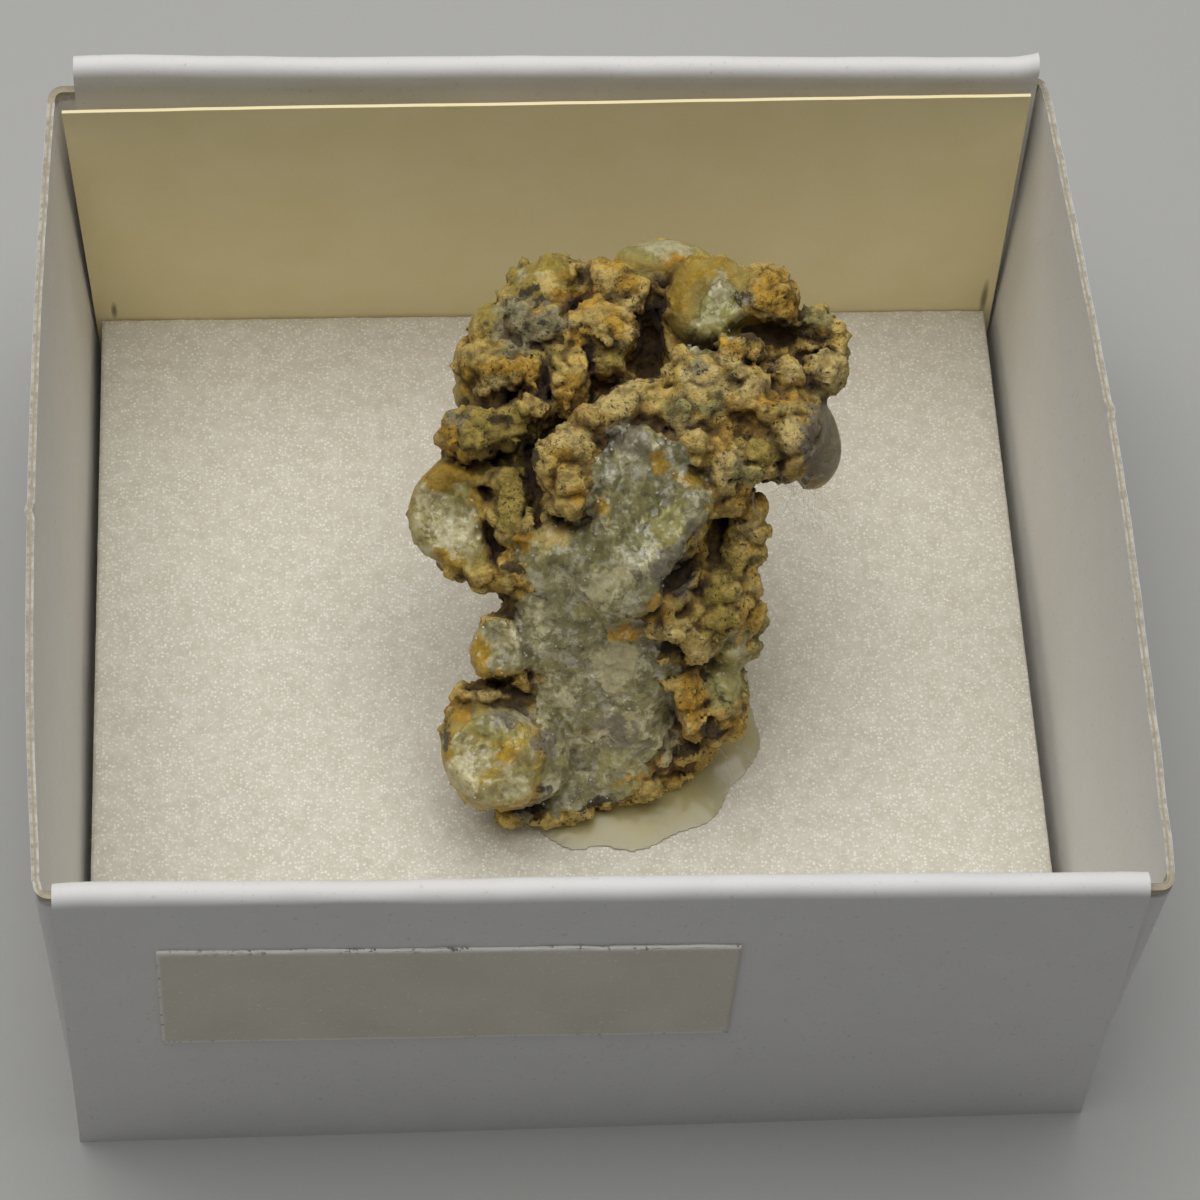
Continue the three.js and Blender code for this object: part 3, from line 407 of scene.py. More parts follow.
# What is painted on, in ellipses in u and v that run right through the stone, each with its half widths and
# for some a turn in degrees.
PAINTED = {
    "olive": [
        (-2.3, 12.6, 1.5, 1.3), (-5.2, 8.2, 0.5, 0.9), (-4.3, 11.2, 0.6, 0.7), (-4.4, 6.7, 1.9, 1.3),
        (0.3, 9.5, 0.8, 0.5), (6.3, 5.9, 1.0, 0.6), (4.6, -0.5, 0.8, 1.2), (5.0, 1.8, 0.5, 1.6),
        (-3.4, 4.2, 0.8, 1.8), (-2.0, 9.6, 0.7, 0.6), (-3.9, -5.2, 1.2, 0.8),
    ],
    "cream": [
        (-4.0, 8.4, 0.5, 0.35), (4.2, 8.6, 1.1, 0.7, -15), (-2.2, 12.5, 0.5, 0.4), (7.5, 8.9, 0.45, 0.4),
        (6.0, 8.4, 0.8, 0.5), (8.9, 9.0, 0.9, 1.1), (5.2, 9.6, 0.8, 0.4), (0.7, 7.9, 1.1, 0.7, 25),
        (2.8, -1.2, 1.0, 0.3), (-4.5, -3.85, 0.9, 0.35), (5.9, 2.7, 0.5, 0.5), (4.2, -2.3, 0.8, 0.7),
        (1.4, 11.3, 0.5, 0.6), (-1.2, 6.2, 0.7, 0.6), (3.4, 6.9, 0.7, 0.5), (7.5, 6.6, 0.5, 0.9),
        (5.2, 5.1, 0.6, 0.7), (-2.3, 2.6, 0.9, 0.4),
    ],
    "green": [
        (2.7, 2.9, 0.7, 0.9), (-0.1, -0.1, 0.9, 0.4, 20), (4.6, 11.5, 1.0, 1.2), (2.3, 13.9, 1.6, 0.45),
        (-4.5, -4.9, 1.1, 0.45, -15), (-3.2, -6.6, 0.4, 0.3), (8.4, 11.0, 0.75, 0.5),
        (4.4, 7.7, 0.55, 0.35), (2.9, 7.5, 0.8, 0.4), (5.7, 5.0, 0.5, 0.5), (5.0, -3.2, 0.9, 1.2),
        (-3.4, 9.9, 0.8, 0.35), (6.6, -2.0, 0.4, 1.2),
    ],
    "ash": [
        (-3.2, 10.9, 0.9, 1.2, 20), (-2.0, 11.1, 0.9, 0.7), (3.9, 9.2, 0.4, 0.25), (-5.6, 7.2, 0.4, 0.5),
        (8.25, 6.2, 0.14, 0.9), (-4.0, -4.6, 1.0, 0.45), (1.2, 6.2, 0.9, 0.6), (2.9, 1.2, 0.8, 0.9),
    ],
    "orange": [
        (0.3, 13.4, 0.8, 0.3, -15), (1.1, 12.6, 0.45, 0.35), (-0.9, 11.8, 1.0, 0.45),
        (-1.0, 10.25, 0.4, 0.35), (0.7, 10.8, 0.5, 0.6), (-4.1, 9.15, 0.8, 0.28), (-2.9, 9.05, 0.6, 0.5),
        (-5.2, 8.7, 0.3, 0.7), (-1.2, 8.1, 0.5, 0.75), (3.1, 13.6, 0.5, 0.28), (6.6, 12.1, 0.8, 0.9, -20),
        (7.5, 11.6, 0.35, 0.7), (5.2, 10.0, 0.7, 0.25, -10), (6.8, 7.8, 1.0, 0.28, 15),
        (-1.4, 5.45, 0.4, 0.4), (-1.05, 3.95, 0.4, 0.35), (6.2, -0.7, 0.3, 0.5), (1.0, -1.35, 0.7, 0.3, 10),
        (2.2, -0.5, 0.4, 0.4), (3.65, -4.2, 0.45, 1.5, 8), (5.4, -5.0, 0.5, 0.3), (-5.6, -4.4, 0.4, 0.5),
        (-5.9, 6.2, 0.35, 0.8), (-5.6, 5.6, 0.5, 0.25), (6.0, 3.8, 0.7, 0.4), (-3.2, 2.3, 0.4, 0.3),
        (-4.4, 1.0, 0.4, 0.3),
    ],
    "amber": [
        (-1.25, 12.9, 0.4, 0.3), (3.1, 12.2, 0.7, 1.1), (4.3, 12.9, 1.0, 0.3), (-5.9, 5.0, 1.5, 0.6),
        (-4.6, 3.6, 0.2, 0.9), (-5.9, 1.4, 0.9, 0.4, -35), (2.3, 5.4, 0.28, 0.5, 30),
        (3.5, 4.75, 0.8, 0.2, -15), (4.4, 3.9, 0.28, 0.6), (0.2, 3.8, 0.2, 0.5), (-4.8, -2.5, 0.55, 1.2),
        (-4.1, -3.1, 0.7, 0.35), (-3.7, -6.2, 0.55, 0.35), (-4.3, -6.9, 0.7, 0.16, 30),
        (-3.7, -8.5, 1.0, 0.3), (-6.0, -5.9, 0.2, 0.9), (1.2, -7.3, 0.8, 0.25, 15), (8.3, 4.8, 0.9, 0.5),
        (4.6, 13.5, 1.1, 0.18), (-4.1, 0.6, 0.3, 0.4),
    ],
    # The dark paint is partly dark spots of the stone and partly painted shade in its hollows: the deep hole
    # in the head, under the upper right lump, and in clefts and undersides lower down.
    "dark": [
        (-3.7, 8.0, 0.4, 0.3), (2.0, 10.1, 0.65, 1.6), (6.7, 10.5, 1.2, 0.5), (8.5, 10.45, 0.7, 0.15),
        (-2.75, 5.4, 0.3, 1.2), (2.7, -1.9, 0.5, 0.3), (4.5, -5.2, 0.5, 0.5), (3.5, -6.0, 0.5, 0.3),
        (-2.3, -7.6, 0.25, 0.25), (0.0, -8.2, 0.8, 0.15, 20), (-6.15, -5.5, 0.2, 0.5),
        (2.6, 0.5, 0.6, 0.2, -20), (-3.3, 1.3, 0.5, 0.3), (-2.85, 12.2, 0.4, 0.2), (-2.5, 11.7, 0.2, 0.25),
        (-3.0, 10.7, 0.2, 0.16), (-2.2, 11.0, 0.16, 0.16), (5.6, 11.9, 0.5, 0.22, -25),
        (-3.9, 7.1, 0.5, 0.25),
    ],
    "smoke": [
        # smoke: grey patches, and at u 2.8, v 1.1 painted shade under the tongue's right edge
        (1.1, 6.2, 0.9, 0.6), (3.7, 2.8, 0.5, 0.4), (2.8, 1.1, 0.8, 0.9), (8.7, 6.2, 0.9, 1.6),
        (-2.1, -5.6, 0.6, 0.5), (-3.4, -4.6, 0.8, 0.35), (-2.8, -8.4, 0.6, 0.4), (0.6, -5.2, 0.9, 0.8),
    ],
    "white": [
        (-3.05, 12.9, 0.28, 0.18), (4.6, 12.2, 0.35, 0.6), (5.95, 12.0, 0.1, 0.25), (2.6, 14.0, 0.9, 0.25),
        (-1.45, 1.0, 0.4, 0.2, -25), (-2.8, -0.55, 0.5, 0.3, 25), (0.6, -2.6, 1.15, 0.9),
        (-0.9, -3.3, 0.45, 0.3), (-2.0, -3.5, 0.5, 0.35), (-0.6, -5.6, 0.9, 0.35, 15),
        (2.6, -5.9, 0.4, 0.7), (1.3, -4.6, 0.6, 0.35), (-2.8, -4.7, 0.6, 0.4, -20),
        (0.1, 0.4, 1.0, 0.7, 30), (-5.6, 2.8, 0.8, 0.7), (-6.9, 3.9, 0.4, 0.8), (-5.4, -6.9, 0.5, 0.8),
        (-3.4, -7.4, 0.5, 0.5), (-3.8, -1.5, 0.5, 0.35),
    ],
}

# Where crystals radiate from a point: that point's u and v, and the reach of the fan round its middle.
FANS = [
    (-4.4, 3.7, (-6.0, 3.2, 2.2, 2.6)),
    (-3.4, -5.6, (-5.0, -6.0, 1.5, 1.8)),
    (-4.6, -6.6, (-3.6, -7.7, 1.4, 1.1)),
    (-3.2, -1.6, (-4.3, -2.1, 1.3, 1.6)),
]
RAY_CROWD = 7  # how closely the streaks of a fan stand
RAY_BREAKS = 0.9  # how often a streak changes along its length
FAN_HEART = 0.3  # how far out the streaks begin to stand apart
SUGAR_EDGE, GLASS_EDGE, PAINT_EDGE, DARK_EDGE = 0.35, 0.4, 1.1, 0.6  # how softly each ends, in millimetres
RAGGED, PAINT_RAGGED = 0.35, 0.5  # how far the edges of patches wander, and the paints' share of that
PATCH_WOBBLE, PAINT_WOBBLE = 0.9, 0.8  # over what length they do


def rays(points):
    """Streaks that spread from the middles of the fans, between -1 and 1."""
    streaks = np.zeros(len(points))
    for u, v, (cu, cv, ru, rv) in FANS:
        arm = points[:, :2] - (u, v)
        inside = np.hypot((points[:, 0] - cu) / ru, (points[:, 1] - cv) / rv) < 1
        reach = np.linalg.norm(arm, axis=1)
        spot = np.column_stack([RAY_CROWD * arm / (reach[:, None] + FAN_HEART), RAY_BREAKS * reach])
        streaks[inside] = rough(spot[inside], 1.0, 131, 2)
    return streaks


def patch_share(rows, points, soft):
    """1 well inside the patches and 0 well outside, with a soft edge."""
    nearest = np.min([lump_distance(row, *points.T) for row in rows], axis=0)
    return np.clip(0.5 - nearest / soft, 0, 1)


def wandering(points, size, seed):
    """A wobble for the edges of patches, in millimetres, as a column."""
    return RAGGED * rough(points, size, seed)[:, None]


def finish_shares(points):
    """How sugary and how glassy the stone is at each point."""
    moved = points + wandering(points, PATCH_WOBBLE, 11)
    return {"sugar": patch_share(SUGARY, moved, SUGAR_EDGE), "glass": patch_share(GLASSY, moved, GLASS_EDGE)}


def painted_shares(points):
    """How much of each paint there is at each point."""
    flat = (points + PAINT_RAGGED * wandering(points, PAINT_WOBBLE, 15)) * (1, 1, 0)
    shares = {}
    for name, rows in PAINTED.items():
        lumps = [(u, v, 0.0, wide, high, 1.0, *turn) for u, v, wide, high, *turn in rows]
        shares[name] = patch_share(lumps, flat, DARK_EDGE if name == "dark" else PAINT_EDGE)
    return shares


def crust_share(points):
    """How much of the stone is under its earthy crust: all that is neither sugary nor glassy."""
    shares = finish_shares(points)
    return 1 - np.maximum(shares["sugar"], shares["glass"])


# ---------------------------------------------------------------- small knobs and crystals
# The crust's knobs: how far apart they stand, how high they are, and a seed.
KNOB_SIZES = [(1.4, 0.28, 41), (0.7, 0.15, 42), (0.36, 0.06, 43)]
JITTER = 0.8  # of a cell
GROOVE = 0.45  # how wide the creases between knobs are, as a share of the knobs
DOME, CROWN_RISE, CROWN_WIDTH = 0.7, 0.6, 0.6  # a knob's steep edge, and its rounded top
KNOB_SUNK = 0.4  # how much of a knob lies below the lump it grows on
# How far apart bold and faint knobs lie, how bold they are on average, how much that varies, and its limits.
BOLD_SIZE, BOLD_MEAN, BOLD_SPREAD, BOLD_LIMITS = 2.6, 0.85, 1.1, (0.15, 1.7)
CRUMPLE, CRUMPLE_SIZE = 0.16, 0.55
# The chips that the crust crumbles into: how wide, how steep, and a seed.
CHIP_SIZES = [(0.6, 0.26, 47), (0.32, 0.26, 48)]
FACET_STEP = 0.12  # how much higher or lower a facet lies than its neighbours, as a share of its size


def nearest_cell(points, size, seed):
    """For each point: how far the nearest of a crowd of jittered middles is, in sizes, how much further the
    next one is, that nearest middle, and its whole-numbered cell."""
    at = points / size
    home = np.floor(at).astype(np.int64)
    best, second = np.full(len(points), 9.0), np.full(len(points), 9.0)
    middle, pick = np.zeros_like(points), np.zeros_like(home)
    for step in np.ndindex(3, 3, 3):
        cell = home + step - 1
        jitter = np.stack([hashed(cell, seed + m) for m in range(3)], 1) - 0.5
        there = cell + 0.5 + JITTER * jitter
        distance = np.linalg.norm(at - there, axis=1)
        nearer = distance < best
        second = np.where(nearer, best, np.minimum(second, distance))
        best = np.where(nearer, distance, best)
        middle[nearer], pick[nearer] = there[nearer] * size, cell[nearer]
    return best, second - best, middle, pick


def dome(gap):
    """0 in the crease between knobs, rising steeply and then levelling off on the knob."""
    return 1 - (1 - np.clip(gap / GROOVE, 0, 1)) ** 2


def crumpled(points):
    """Points moved a little, so that cells drawn at them have ragged borders."""
    return points + CRUMPLE * np.stack([noise(points, CRUMPLE_SIZE, 300 + m) for m in range(3)], 1)


def knobs(points, size, height, seed):
    """Round-topped knobs with sharp, ragged creases between them, bold in some regions, faint in others."""
    distance, gap, _, _ = nearest_cell(crumpled(points), size, seed)
    profile = DOME * dome(gap) + CROWN_RISE * (CROWN_WIDTH - distance**2)
    bold = np.clip(BOLD_MEAN + BOLD_SPREAD * noise(points, BOLD_SIZE, seed + 20), *BOLD_LIMITS)
    return height * (profile - KNOB_SUNK) * bold * crust_share(points)


def knob_marks(points):
    """For each point: how deep in the creases of the small and the large knobs it is, and a tint for its
    knob."""
    (large, _, large_seed), (small, _, small_seed), _ = KNOB_SIZES
    points = crumpled(points)
    _, far_gap, _, pick = nearest_cell(points, large, large_seed)
    _, near_gap, _, small_pick = nearest_cell(points, small, small_seed)
    tint = 0.5 * hashed(pick, 51) + 0.5 * hashed(small_pick, 52)
    return {"crease": 1 - dome(near_gap), "fold": 1 - dome(far_gap), "tint": tint}


def crystals(points, size, seed):
    """The height of small tilted facets, each flat over one cell."""
    _, _, middle, pick = nearest_cell(points, size, seed)
    tilt = 2 * np.stack([hashed(pick, seed + 5 + m) for m in range(3)], 1) - 1
    lift = 2 * hashed(pick, seed + 9) - 1
    return np.sum((points - middle) * tilt, axis=1) + FACET_STEP * size * lift


# ---------------------------------------------------------------- the stone's mesh and what is marked on it
PIT_SPACING, PIT_DEPTH = 0.62, 0.12
PIT_RADIUS, PIT_EDGE = 0.17, 0.08  # of the spacing
PIT_LEAST = 0.7  # the smallest pit's share of that radius
PIT_REGION, PIT_CHANCE, PIT_SPREAD = 2.0, 0.18, 0.5
SUGAR_FACET, SUGAR_STEEP = 0.6, 0.26  # the broken crystals' faces: how wide and how steep
RAY_RELIEF = 0.025
CRUST_GRIT, CRUST_GRIT_SIZE = 0.07, 0.45
OPEN_REACHES = (0.25, 0.5, 0.9)
BULGE_REACHES = (0.3, 0.7)


def slope_at(field, points):
    """The field's outward direction at points."""
    steps = field.cell * np.eye(3)
    slope = np.stack([field.at(points + step) - field.at(points - step) for step in steps], 1)
    return slope / np.maximum(np.linalg.norm(slope, axis=1, keepdims=True), 1e-6)


def open_share(field, points, out):
    """How open the room in front of a place is: 1 on a crest, towards 0 in a crevice."""
    return np.mean([np.clip(field.at(points + r * out) / r, 0, 1) for r in OPEN_REACHES], axis=0)


def bulge(field, points):
    """How far a place stands out from its surroundings: above 0 on crests, below 0 in creases."""
    total = 0.0
    for reach in BULGE_REACHES:
        sides = [field.at(points + side * reach * axis) for axis in np.eye(3) for side in (-1, 1)]
        total = total + np.mean(sides, axis=0) / reach
    return total


def pits(points):
    """1 in the small round holes that some of the crust is full of."""
    distance, _, _, pick = nearest_cell(points, PIT_SPACING, 61)
    chosen = hashed(pick, 63) < PIT_CHANCE + PIT_SPREAD * rough(points, PIT_REGION, 62, 2)
    return np.clip((PIT_RADIUS * (PIT_LEAST + hashed(pick, 64)) - distance) / PIT_EDGE, 0, 1) * chosen


def stone_piece():
    """The stone with its chips, pits and broken crystals, and what its finish needs to know of each place."""
    field = stone_field()
    vertices, quads = main_body(*surface_of(field))
    out = slope_at(field, vertices)
    marks = {**finish_shares(vertices), **painted_shares(vertices), **knob_marks(vertices)}
    marks["open"] = open_share(field, vertices, out)
    marks["bulge"] = bulge(field, vertices)
    marks["ray"] = rays(vertices)
    crust = crust_share(vertices)
    marks["pit"] = pits(vertices) * crust
    ragged_place = crumpled(vertices)
    relief = SUGAR_STEEP * crystals(ragged_place, SUGAR_FACET, 31) * marks["sugar"] - PIT_DEPTH * marks["pit"]
    relief += RAY_RELIEF * marks["ray"]
    relief += CRUST_GRIT * rough(vertices, CRUST_GRIT_SIZE, 21) * crust
    for size, steep, seed in CHIP_SIZES:
        relief += steep * crystals(ragged_place, size, seed) * crust
    vertices = vertices + relief[:, None] * out
    return mesh_piece("smithsonite_stone", from_stone(vertices), quads.tolist(), **marks)


# ---------------------------------------------------------------- making finishes
def colour(code):
    """A colour written as sRGB hex, as linear RGBA."""
    parts = [int(code[i : i + 2], 16) / 255 for i in (1, 3, 5)]
    linear = [c / 12.92 if c <= 0.04045 else ((c + 0.055) / 1.055) ** 2.4 for c in parts]
    return (*linear, 1.0)


def add(tree, kind, inputs=None, **settings):
    """Adds a node with its settings. Each input is a value, or a node or socket to link."""
    made = tree.nodes.new(kind)
    for name, value in settings.items():
        setattr(made, name, value)
    for name, value in (inputs or {}).items():
        named = [s for s in made.inputs if s.enabled and s.name == name]
        socket = named[0] if named else made.inputs[name]
        if isinstance(value, bpy.types.Node):
            value = next(s for s in value.outputs if s.enabled)
        if isinstance(value, bpy.types.NodeSocket):
            tree.links.new(value, socket)
        else:
            socket.default_value = value
    return made


def new_finish(name, **clouds):
    """A new material, its tree, its Object coordinates and clouds of soft noise on them. Each cloud is given
    as the size of its lumps in millimetres, its detail and its roughness."""
    made = bpy.data.materials.new(name)
    made.use_nodes = True
    tree = made.node_tree
    tree.nodes.clear()
    place = add(tree, "ShaderNodeTexCoord").outputs["Object"]
    for cloud, (size, detail, roughness) in clouds.items():
        inputs = {"Vector": place, "Scale": 1 / (size * MM), "Detail": detail, "Roughness": roughness}
        clouds[cloud] = add(tree, "ShaderNodeTexNoise", inputs).outputs["Fac"]
    return made, tree, place, clouds


def surfaced(made, look, **inside):
    """The finished material: its look as a surface, and what fills it, if anything."""
    tree = made.node_tree
    skin = add(tree, "ShaderNodeBsdfPrincipled", look)
    add(tree, "ShaderNodeOutputMaterial", {"Surface": skin, **inside})
    return made


def weighed(tree, total, *terms):
    """A number with values added to it, each times its own weight."""
    for value, weight in terms:
        total = add(tree, "ShaderNodeMath", {0: value, 1: weight, 2: total}, operation="MULTIPLY_ADD")
    return total


def cover(tree, strength, *masks):
    """How much a coat covers: its strength times its masks. A mask is a value, or a value with the level at
    which the coat starts and the level at which it is full."""
    for mask in masks:
        if isinstance(mask, tuple):
            value, start, full = mask
            mask = add(tree, "ShaderNodeMapRange", {"Value": value, "From Min": start, "From Max": full})
        strength = add(tree, "ShaderNodeMath", {0: strength, 1: mask}, operation="MULTIPLY")
    return strength


def coated(tree, base, *coats, how="MIX"):
    """Colours laid over a base one after another. A coat is its colour, its strength and its masks."""
    base = colour(base) if isinstance(base, str) else base
    for shade, strength, *masks in coats:
        over = colour(shade) if isinstance(shade, str) else shade
        inputs = {"Factor": cover(tree, strength, *masks), "A": base, "B": over}
        base = add(tree, "ShaderNodeMix", inputs, data_type="RGBA", blend_type=how)
    return base


def facets(tree, place, size):
    """Small facets, each tilted its own way: their height in metres, and a chance colour for each."""
    cells = add(tree, "ShaderNodeTexVoronoi", {"Vector": place, "Scale": 1 / size})
    middle, chance = cells.outputs["Position"], cells.outputs["Color"]
    arm = add(tree, "ShaderNodeVectorMath", {0: place, 1: middle}, operation="SUBTRACT")
    tilt = add(tree, "ShaderNodeVectorMath", {0: chance, 1: (0.5, 0.5, 0.5)}, operation="SUBTRACT")
    height = add(tree, "ShaderNodeVectorMath", {0: arm, 1: tilt}, operation="DOT_PRODUCT")
    return height.outputs["Value"], chance


# ---------------------------------------------------------------- the stone's finish
# What is marked on the stone's vertices for its finish.
MARKS = ("sugar", "glass", *PAINTED, "crease", "fold", "tint", "open", "bulge", "ray", "pit")
# Two shades of each paint, and how strongly it covers.
PAINTS = {
    "olive": ("#9a8832", "#c6ac4e"),
    "cream": ("#d8bc6c", "#f0d68c"),
    "green": ("#969052", "#b8ae6c"),
    "ash": ("#8e8660", "#b2aa82"),
    "orange": ("#c0901a", "#e6b43a"),
    "amber": ("#9c7c12", "#caa430"),
    # the dark paint, partly painted shade in the stone's hollows
    "dark": ("#140e07", "#2e2312"),
    "smoke": ("#77705a", "#958c78"),
    "white": ("#b8ae80", "#dcd4aa"),
}
PAINT_STRENGTH = 0.88
# The crust's tints: a place from 0 to 1, and its colour, from olive grey over tan and cream to rust.
CRUST_TINTS = [
    (0.22, "#6e6430"),
    (0.36, "#937c34"),
    (0.48, "#b8963e"),
    (0.6, "#d8b04a"),
    (0.74, "#ecca66"),
    (0.9, "#d08c1c"),
]
DRIFT = 0.5 * MM  # how far the borders of chips and scraps are pulled about, and over what length
# How wide the shaded chips of the crust, the patches of broken crystal and their glinting facets are.
CHIP_WIDTH, BROKEN_WIDTH, GLINT_WIDTHS = 0.34 * MM, 0.5 * MM, (0.2 * MM, 0.55 * MM)


def stone_finish():
    """Smithsonite under an earthy limonite crust: matte specked tan knobs with painted highlights on their
    tops and painted brown shade in their creases and crevices, sugary grey-green broken faces with white
    patches, and waxy amber rims."""
    made, tree, place, cloud = new_finish(
        "smithsonite_with_limonite_crust",
        fine=(0.3, 4.0, 0.7),
        broad=(1.6, 2.0, 0.5),
        tint=(1.1, 5.0, 0.7),
        lilac=(0.5, 6.0, 0.75),
        rusty=(2.2, 4.0, 0.65),
        grime=(0.4, 5.0, 0.75),
        fleck=(0.17, 3.0, 0.65),
        flecked=(0.9, 2.0, 0.6),
        grit=(0.3, 5.0, 0.75),
    )
    mark = {name: add(tree, "ShaderNodeAttribute", attribute_name=name).outputs["Fac"] for name in MARKS}
    drift = add(tree, "ShaderNodeTexNoise", {"Vector": place, "Scale": 1 / DRIFT, "Detail": 3.0})
    inputs = {0: drift.outputs["Color"], 1: (0.5, 0.5, 0.5)}
    drift = add(tree, "ShaderNodeVectorMath", inputs, operation="SUBTRACT")
    inputs = {0: drift, 1: (DRIFT, DRIFT, DRIFT), 2: place}
    torn = add(tree, "ShaderNodeVectorMath", inputs, operation="MULTIPLY_ADD")
    for name, size, roughness in (("patchy", 1.0, 0.78), ("scraps", 0.9, 0.75)):
        inputs = {"Vector": torn, "Scale": 1 / (size * MM), "Detail": 7.0, "Roughness": roughness}
        cloud[name] = add(tree, "ShaderNodeTexNoise", inputs).outputs["Fac"]
    fine = cloud["fine"]
    wobble = weighed(tree, -0.8, (fine, 1.6))
    scraps = weighed(tree, -1.3, (cloud["scraps"], 2.6), (wobble, 0.3))
    sugar_here = weighed(tree, wobble, (mark["sugar"], 1.0))
    sugary = cover(tree, 1.0, (sugar_here, 0.4, 0.6))
    crusty = cover(tree, 1.0, (sugar_here, 0.6, 0.4))
    matte = add(tree, "ShaderNodeMapRange", {"Value": mark["glass"], "To Min": 1.0, "To Max": 0.1})
    earthy = cover(tree, 1.0, crusty, matte)
    clear = add(tree, "ShaderNodeMath", {0: mark["glass"], 1: sugary}, operation="MAXIMUM")

    chips, chance = facets(tree, torn, CHIP_WIDTH)
    chip_tone = add(tree, "ShaderNodeSeparateColor", {"Color": chance}).outputs["Red"]
    tint = weighed(tree, -0.3, (mark["tint"], 0.35), (cloud["tint"], 1.0), (chip_tone, 0.3))
    crust = add(tree, "ShaderNodeValToRGB", {"Fac": tint})
    band = crust.color_ramp
    stops = [*band.elements, *(band.elements.new(0.5) for _ in CRUST_TINTS[2:])]
    for stop, (at, code) in zip(stops, CRUST_TINTS):
        stop.position, stop.color = at, colour(code)
    crust = coated(tree, crust, ("#cc9c30", 0.5, (cloud["rusty"], 0.53, 0.6)))

    broken = add(tree, "ShaderNodeTexVoronoi", {"Vector": torn, "Scale": 1 / BROKEN_WIDTH}).outputs["Color"]
    broken = add(tree, "ShaderNodeSeparateColor", {"Color": broken}).outputs["Green"]
    broken = add(tree, "ShaderNodeMapRange", {"Value": broken, "To Min": 0.68, "To Max": 1.26})
    chalk = coated(tree, "#b6b088", ("#dcd7b8", fine))
    sugar = coated(
        tree,
        coated(tree, "#7c774a", ("#a19a6c", fine)),
        (chalk, 1.0, (cloud["patchy"], 0.48, 0.6)),
        ("#c8c2b4", 0.75, (cloud["lilac"], 0.54, 0.64)),
        ("#958b4e", 0.6, (cloud["broad"], 0.5, 0.7)),
    )
    sugar = coated(tree, sugar, (broken, 1.0), how="MULTIPLY")

    wax = coated(tree, "#a68e30", ("#ccb86a", fine))
    waxy = add(tree, "ShaderNodeMapRange", {"Value": crusty, "To Min": 0.3, "To Max": 0.85})
    # Painted highlight: a light cream laid on the tops of the crust's knobs and lumps, where they stand out.
    cream = coated(tree, "#e2bc58", ("#ffe898", fine))
    bulge_here = weighed(tree, mark["bulge"], (wobble, 0.12))
    paints = []
    for name, (deep, light) in PAINTS.items():
        shade = coated(tree, deep, (light, 1.0, (fine, 0.35, 0.65)))
        edge = weighed(tree, mark[name], (wobble if name == "dark" else scraps, 1.0))
        paints.append((shade, PAINT_STRENGTH, (edge, 0.4, 0.62)))
    crease = weighed(tree, mark["crease"], (mark["fold"], 0.8), (wobble, 0.35))
    flecks = cover(tree, 1.0, (cloud["fleck"], 0.57, 0.63), (cloud["flecked"], 0.42, 0.54), earthy)
    flecks = add(tree, "ShaderNodeMath", {0: flecks, 1: mark["pit"]}, operation="MAXIMUM")
    base = coated(
        tree,
        sugar,
        (crust, crusty),
        (wax, 1.0, mark["glass"], waxy),
        ("#e2d8a6", 0.45, (mark["ray"], 0.0, 0.7)),
        ("#a39650", 0.35, (mark["ray"], -0.1, -0.7)),
        # painted highlight on the crests of the crust
        (cream, 0.48, (bulge_here, 0.02, 0.34), earthy),
        *paints,
        # painted shade in the recesses of the crust
        ("#5a3f12", 0.7, (bulge_here, 0.0, -0.3), earthy),
        ("#6e5522", 0.5, (cloud["grime"], 0.5, 0.62), earthy),
        # painted brown shade in the creases between the knobs
        ("#4a330e", 0.6, (crease, 0.6, 1.6), earthy),
        ("#2a1e0e", 0.85, flecks),
    )
    # Painted shade: the colour is darkened where the room in front of a place is shut in, in crevices and
    # hollows.
    base = coated(tree, base, ("#6a5226", 0.9, (mark["open"], 0.8, 0.15)), how="MULTIPLY")

    grit = weighed(tree, 0.0, (cloud["grit"], 0.22 * MM), (chips, 0.7))
    small, large = (facets(tree, place, width)[0] for width in GLINT_WIDTHS)
    sparkle = weighed(tree, 0.0, (small, 0.5), (large, 0.35))
    height = add(tree, "ShaderNodeMix", {"Factor": crusty, "A": sparkle, "B": grit})
    look = {
        "Base Color": base,
        "Roughness": add(tree, "ShaderNodeMapRange", {"Value": clear, "To Min": 0.78, "To Max": 0.3}),
        "Normal": add(tree, "ShaderNodeBump", {"Height": height, "Strength": 1.0, "Distance": 1.0}),
        "IOR": 1.6,
        "Subsurface Weight": cover(tree, 0.7, clear),
        "Subsurface Radius": (1.0, 0.85, 0.5),
        "Subsurface Scale": 0.9 * MM,
    }
    return surfaced(made, look)


# ---------------------------------------------------------------- shapes of card
def waved(points, wave, seed):
    """Soft waves, given as how far they stray and over what length, in millimetres."""
    height, length = wave
    return height * noise(points, length, seed)


def loft(rings):
    """Vertices and faces of a closed skin over rings of points, with a flat cap at each end."""
    rings = np.array(rings, float)
    rows, count = rings.shape[:2]
    index = np.arange(rows * count).reshape(rows, count)
    turned = np.roll(index, -1, axis=1)
    faces = np.stack([index[:-1], index[1:], turned[1:], turned[:-1]], -1).reshape(-1, 4).tolist()
    return rings.reshape(-1, 3), faces + [index[0].tolist(), index[-1][::-1].tolist()]


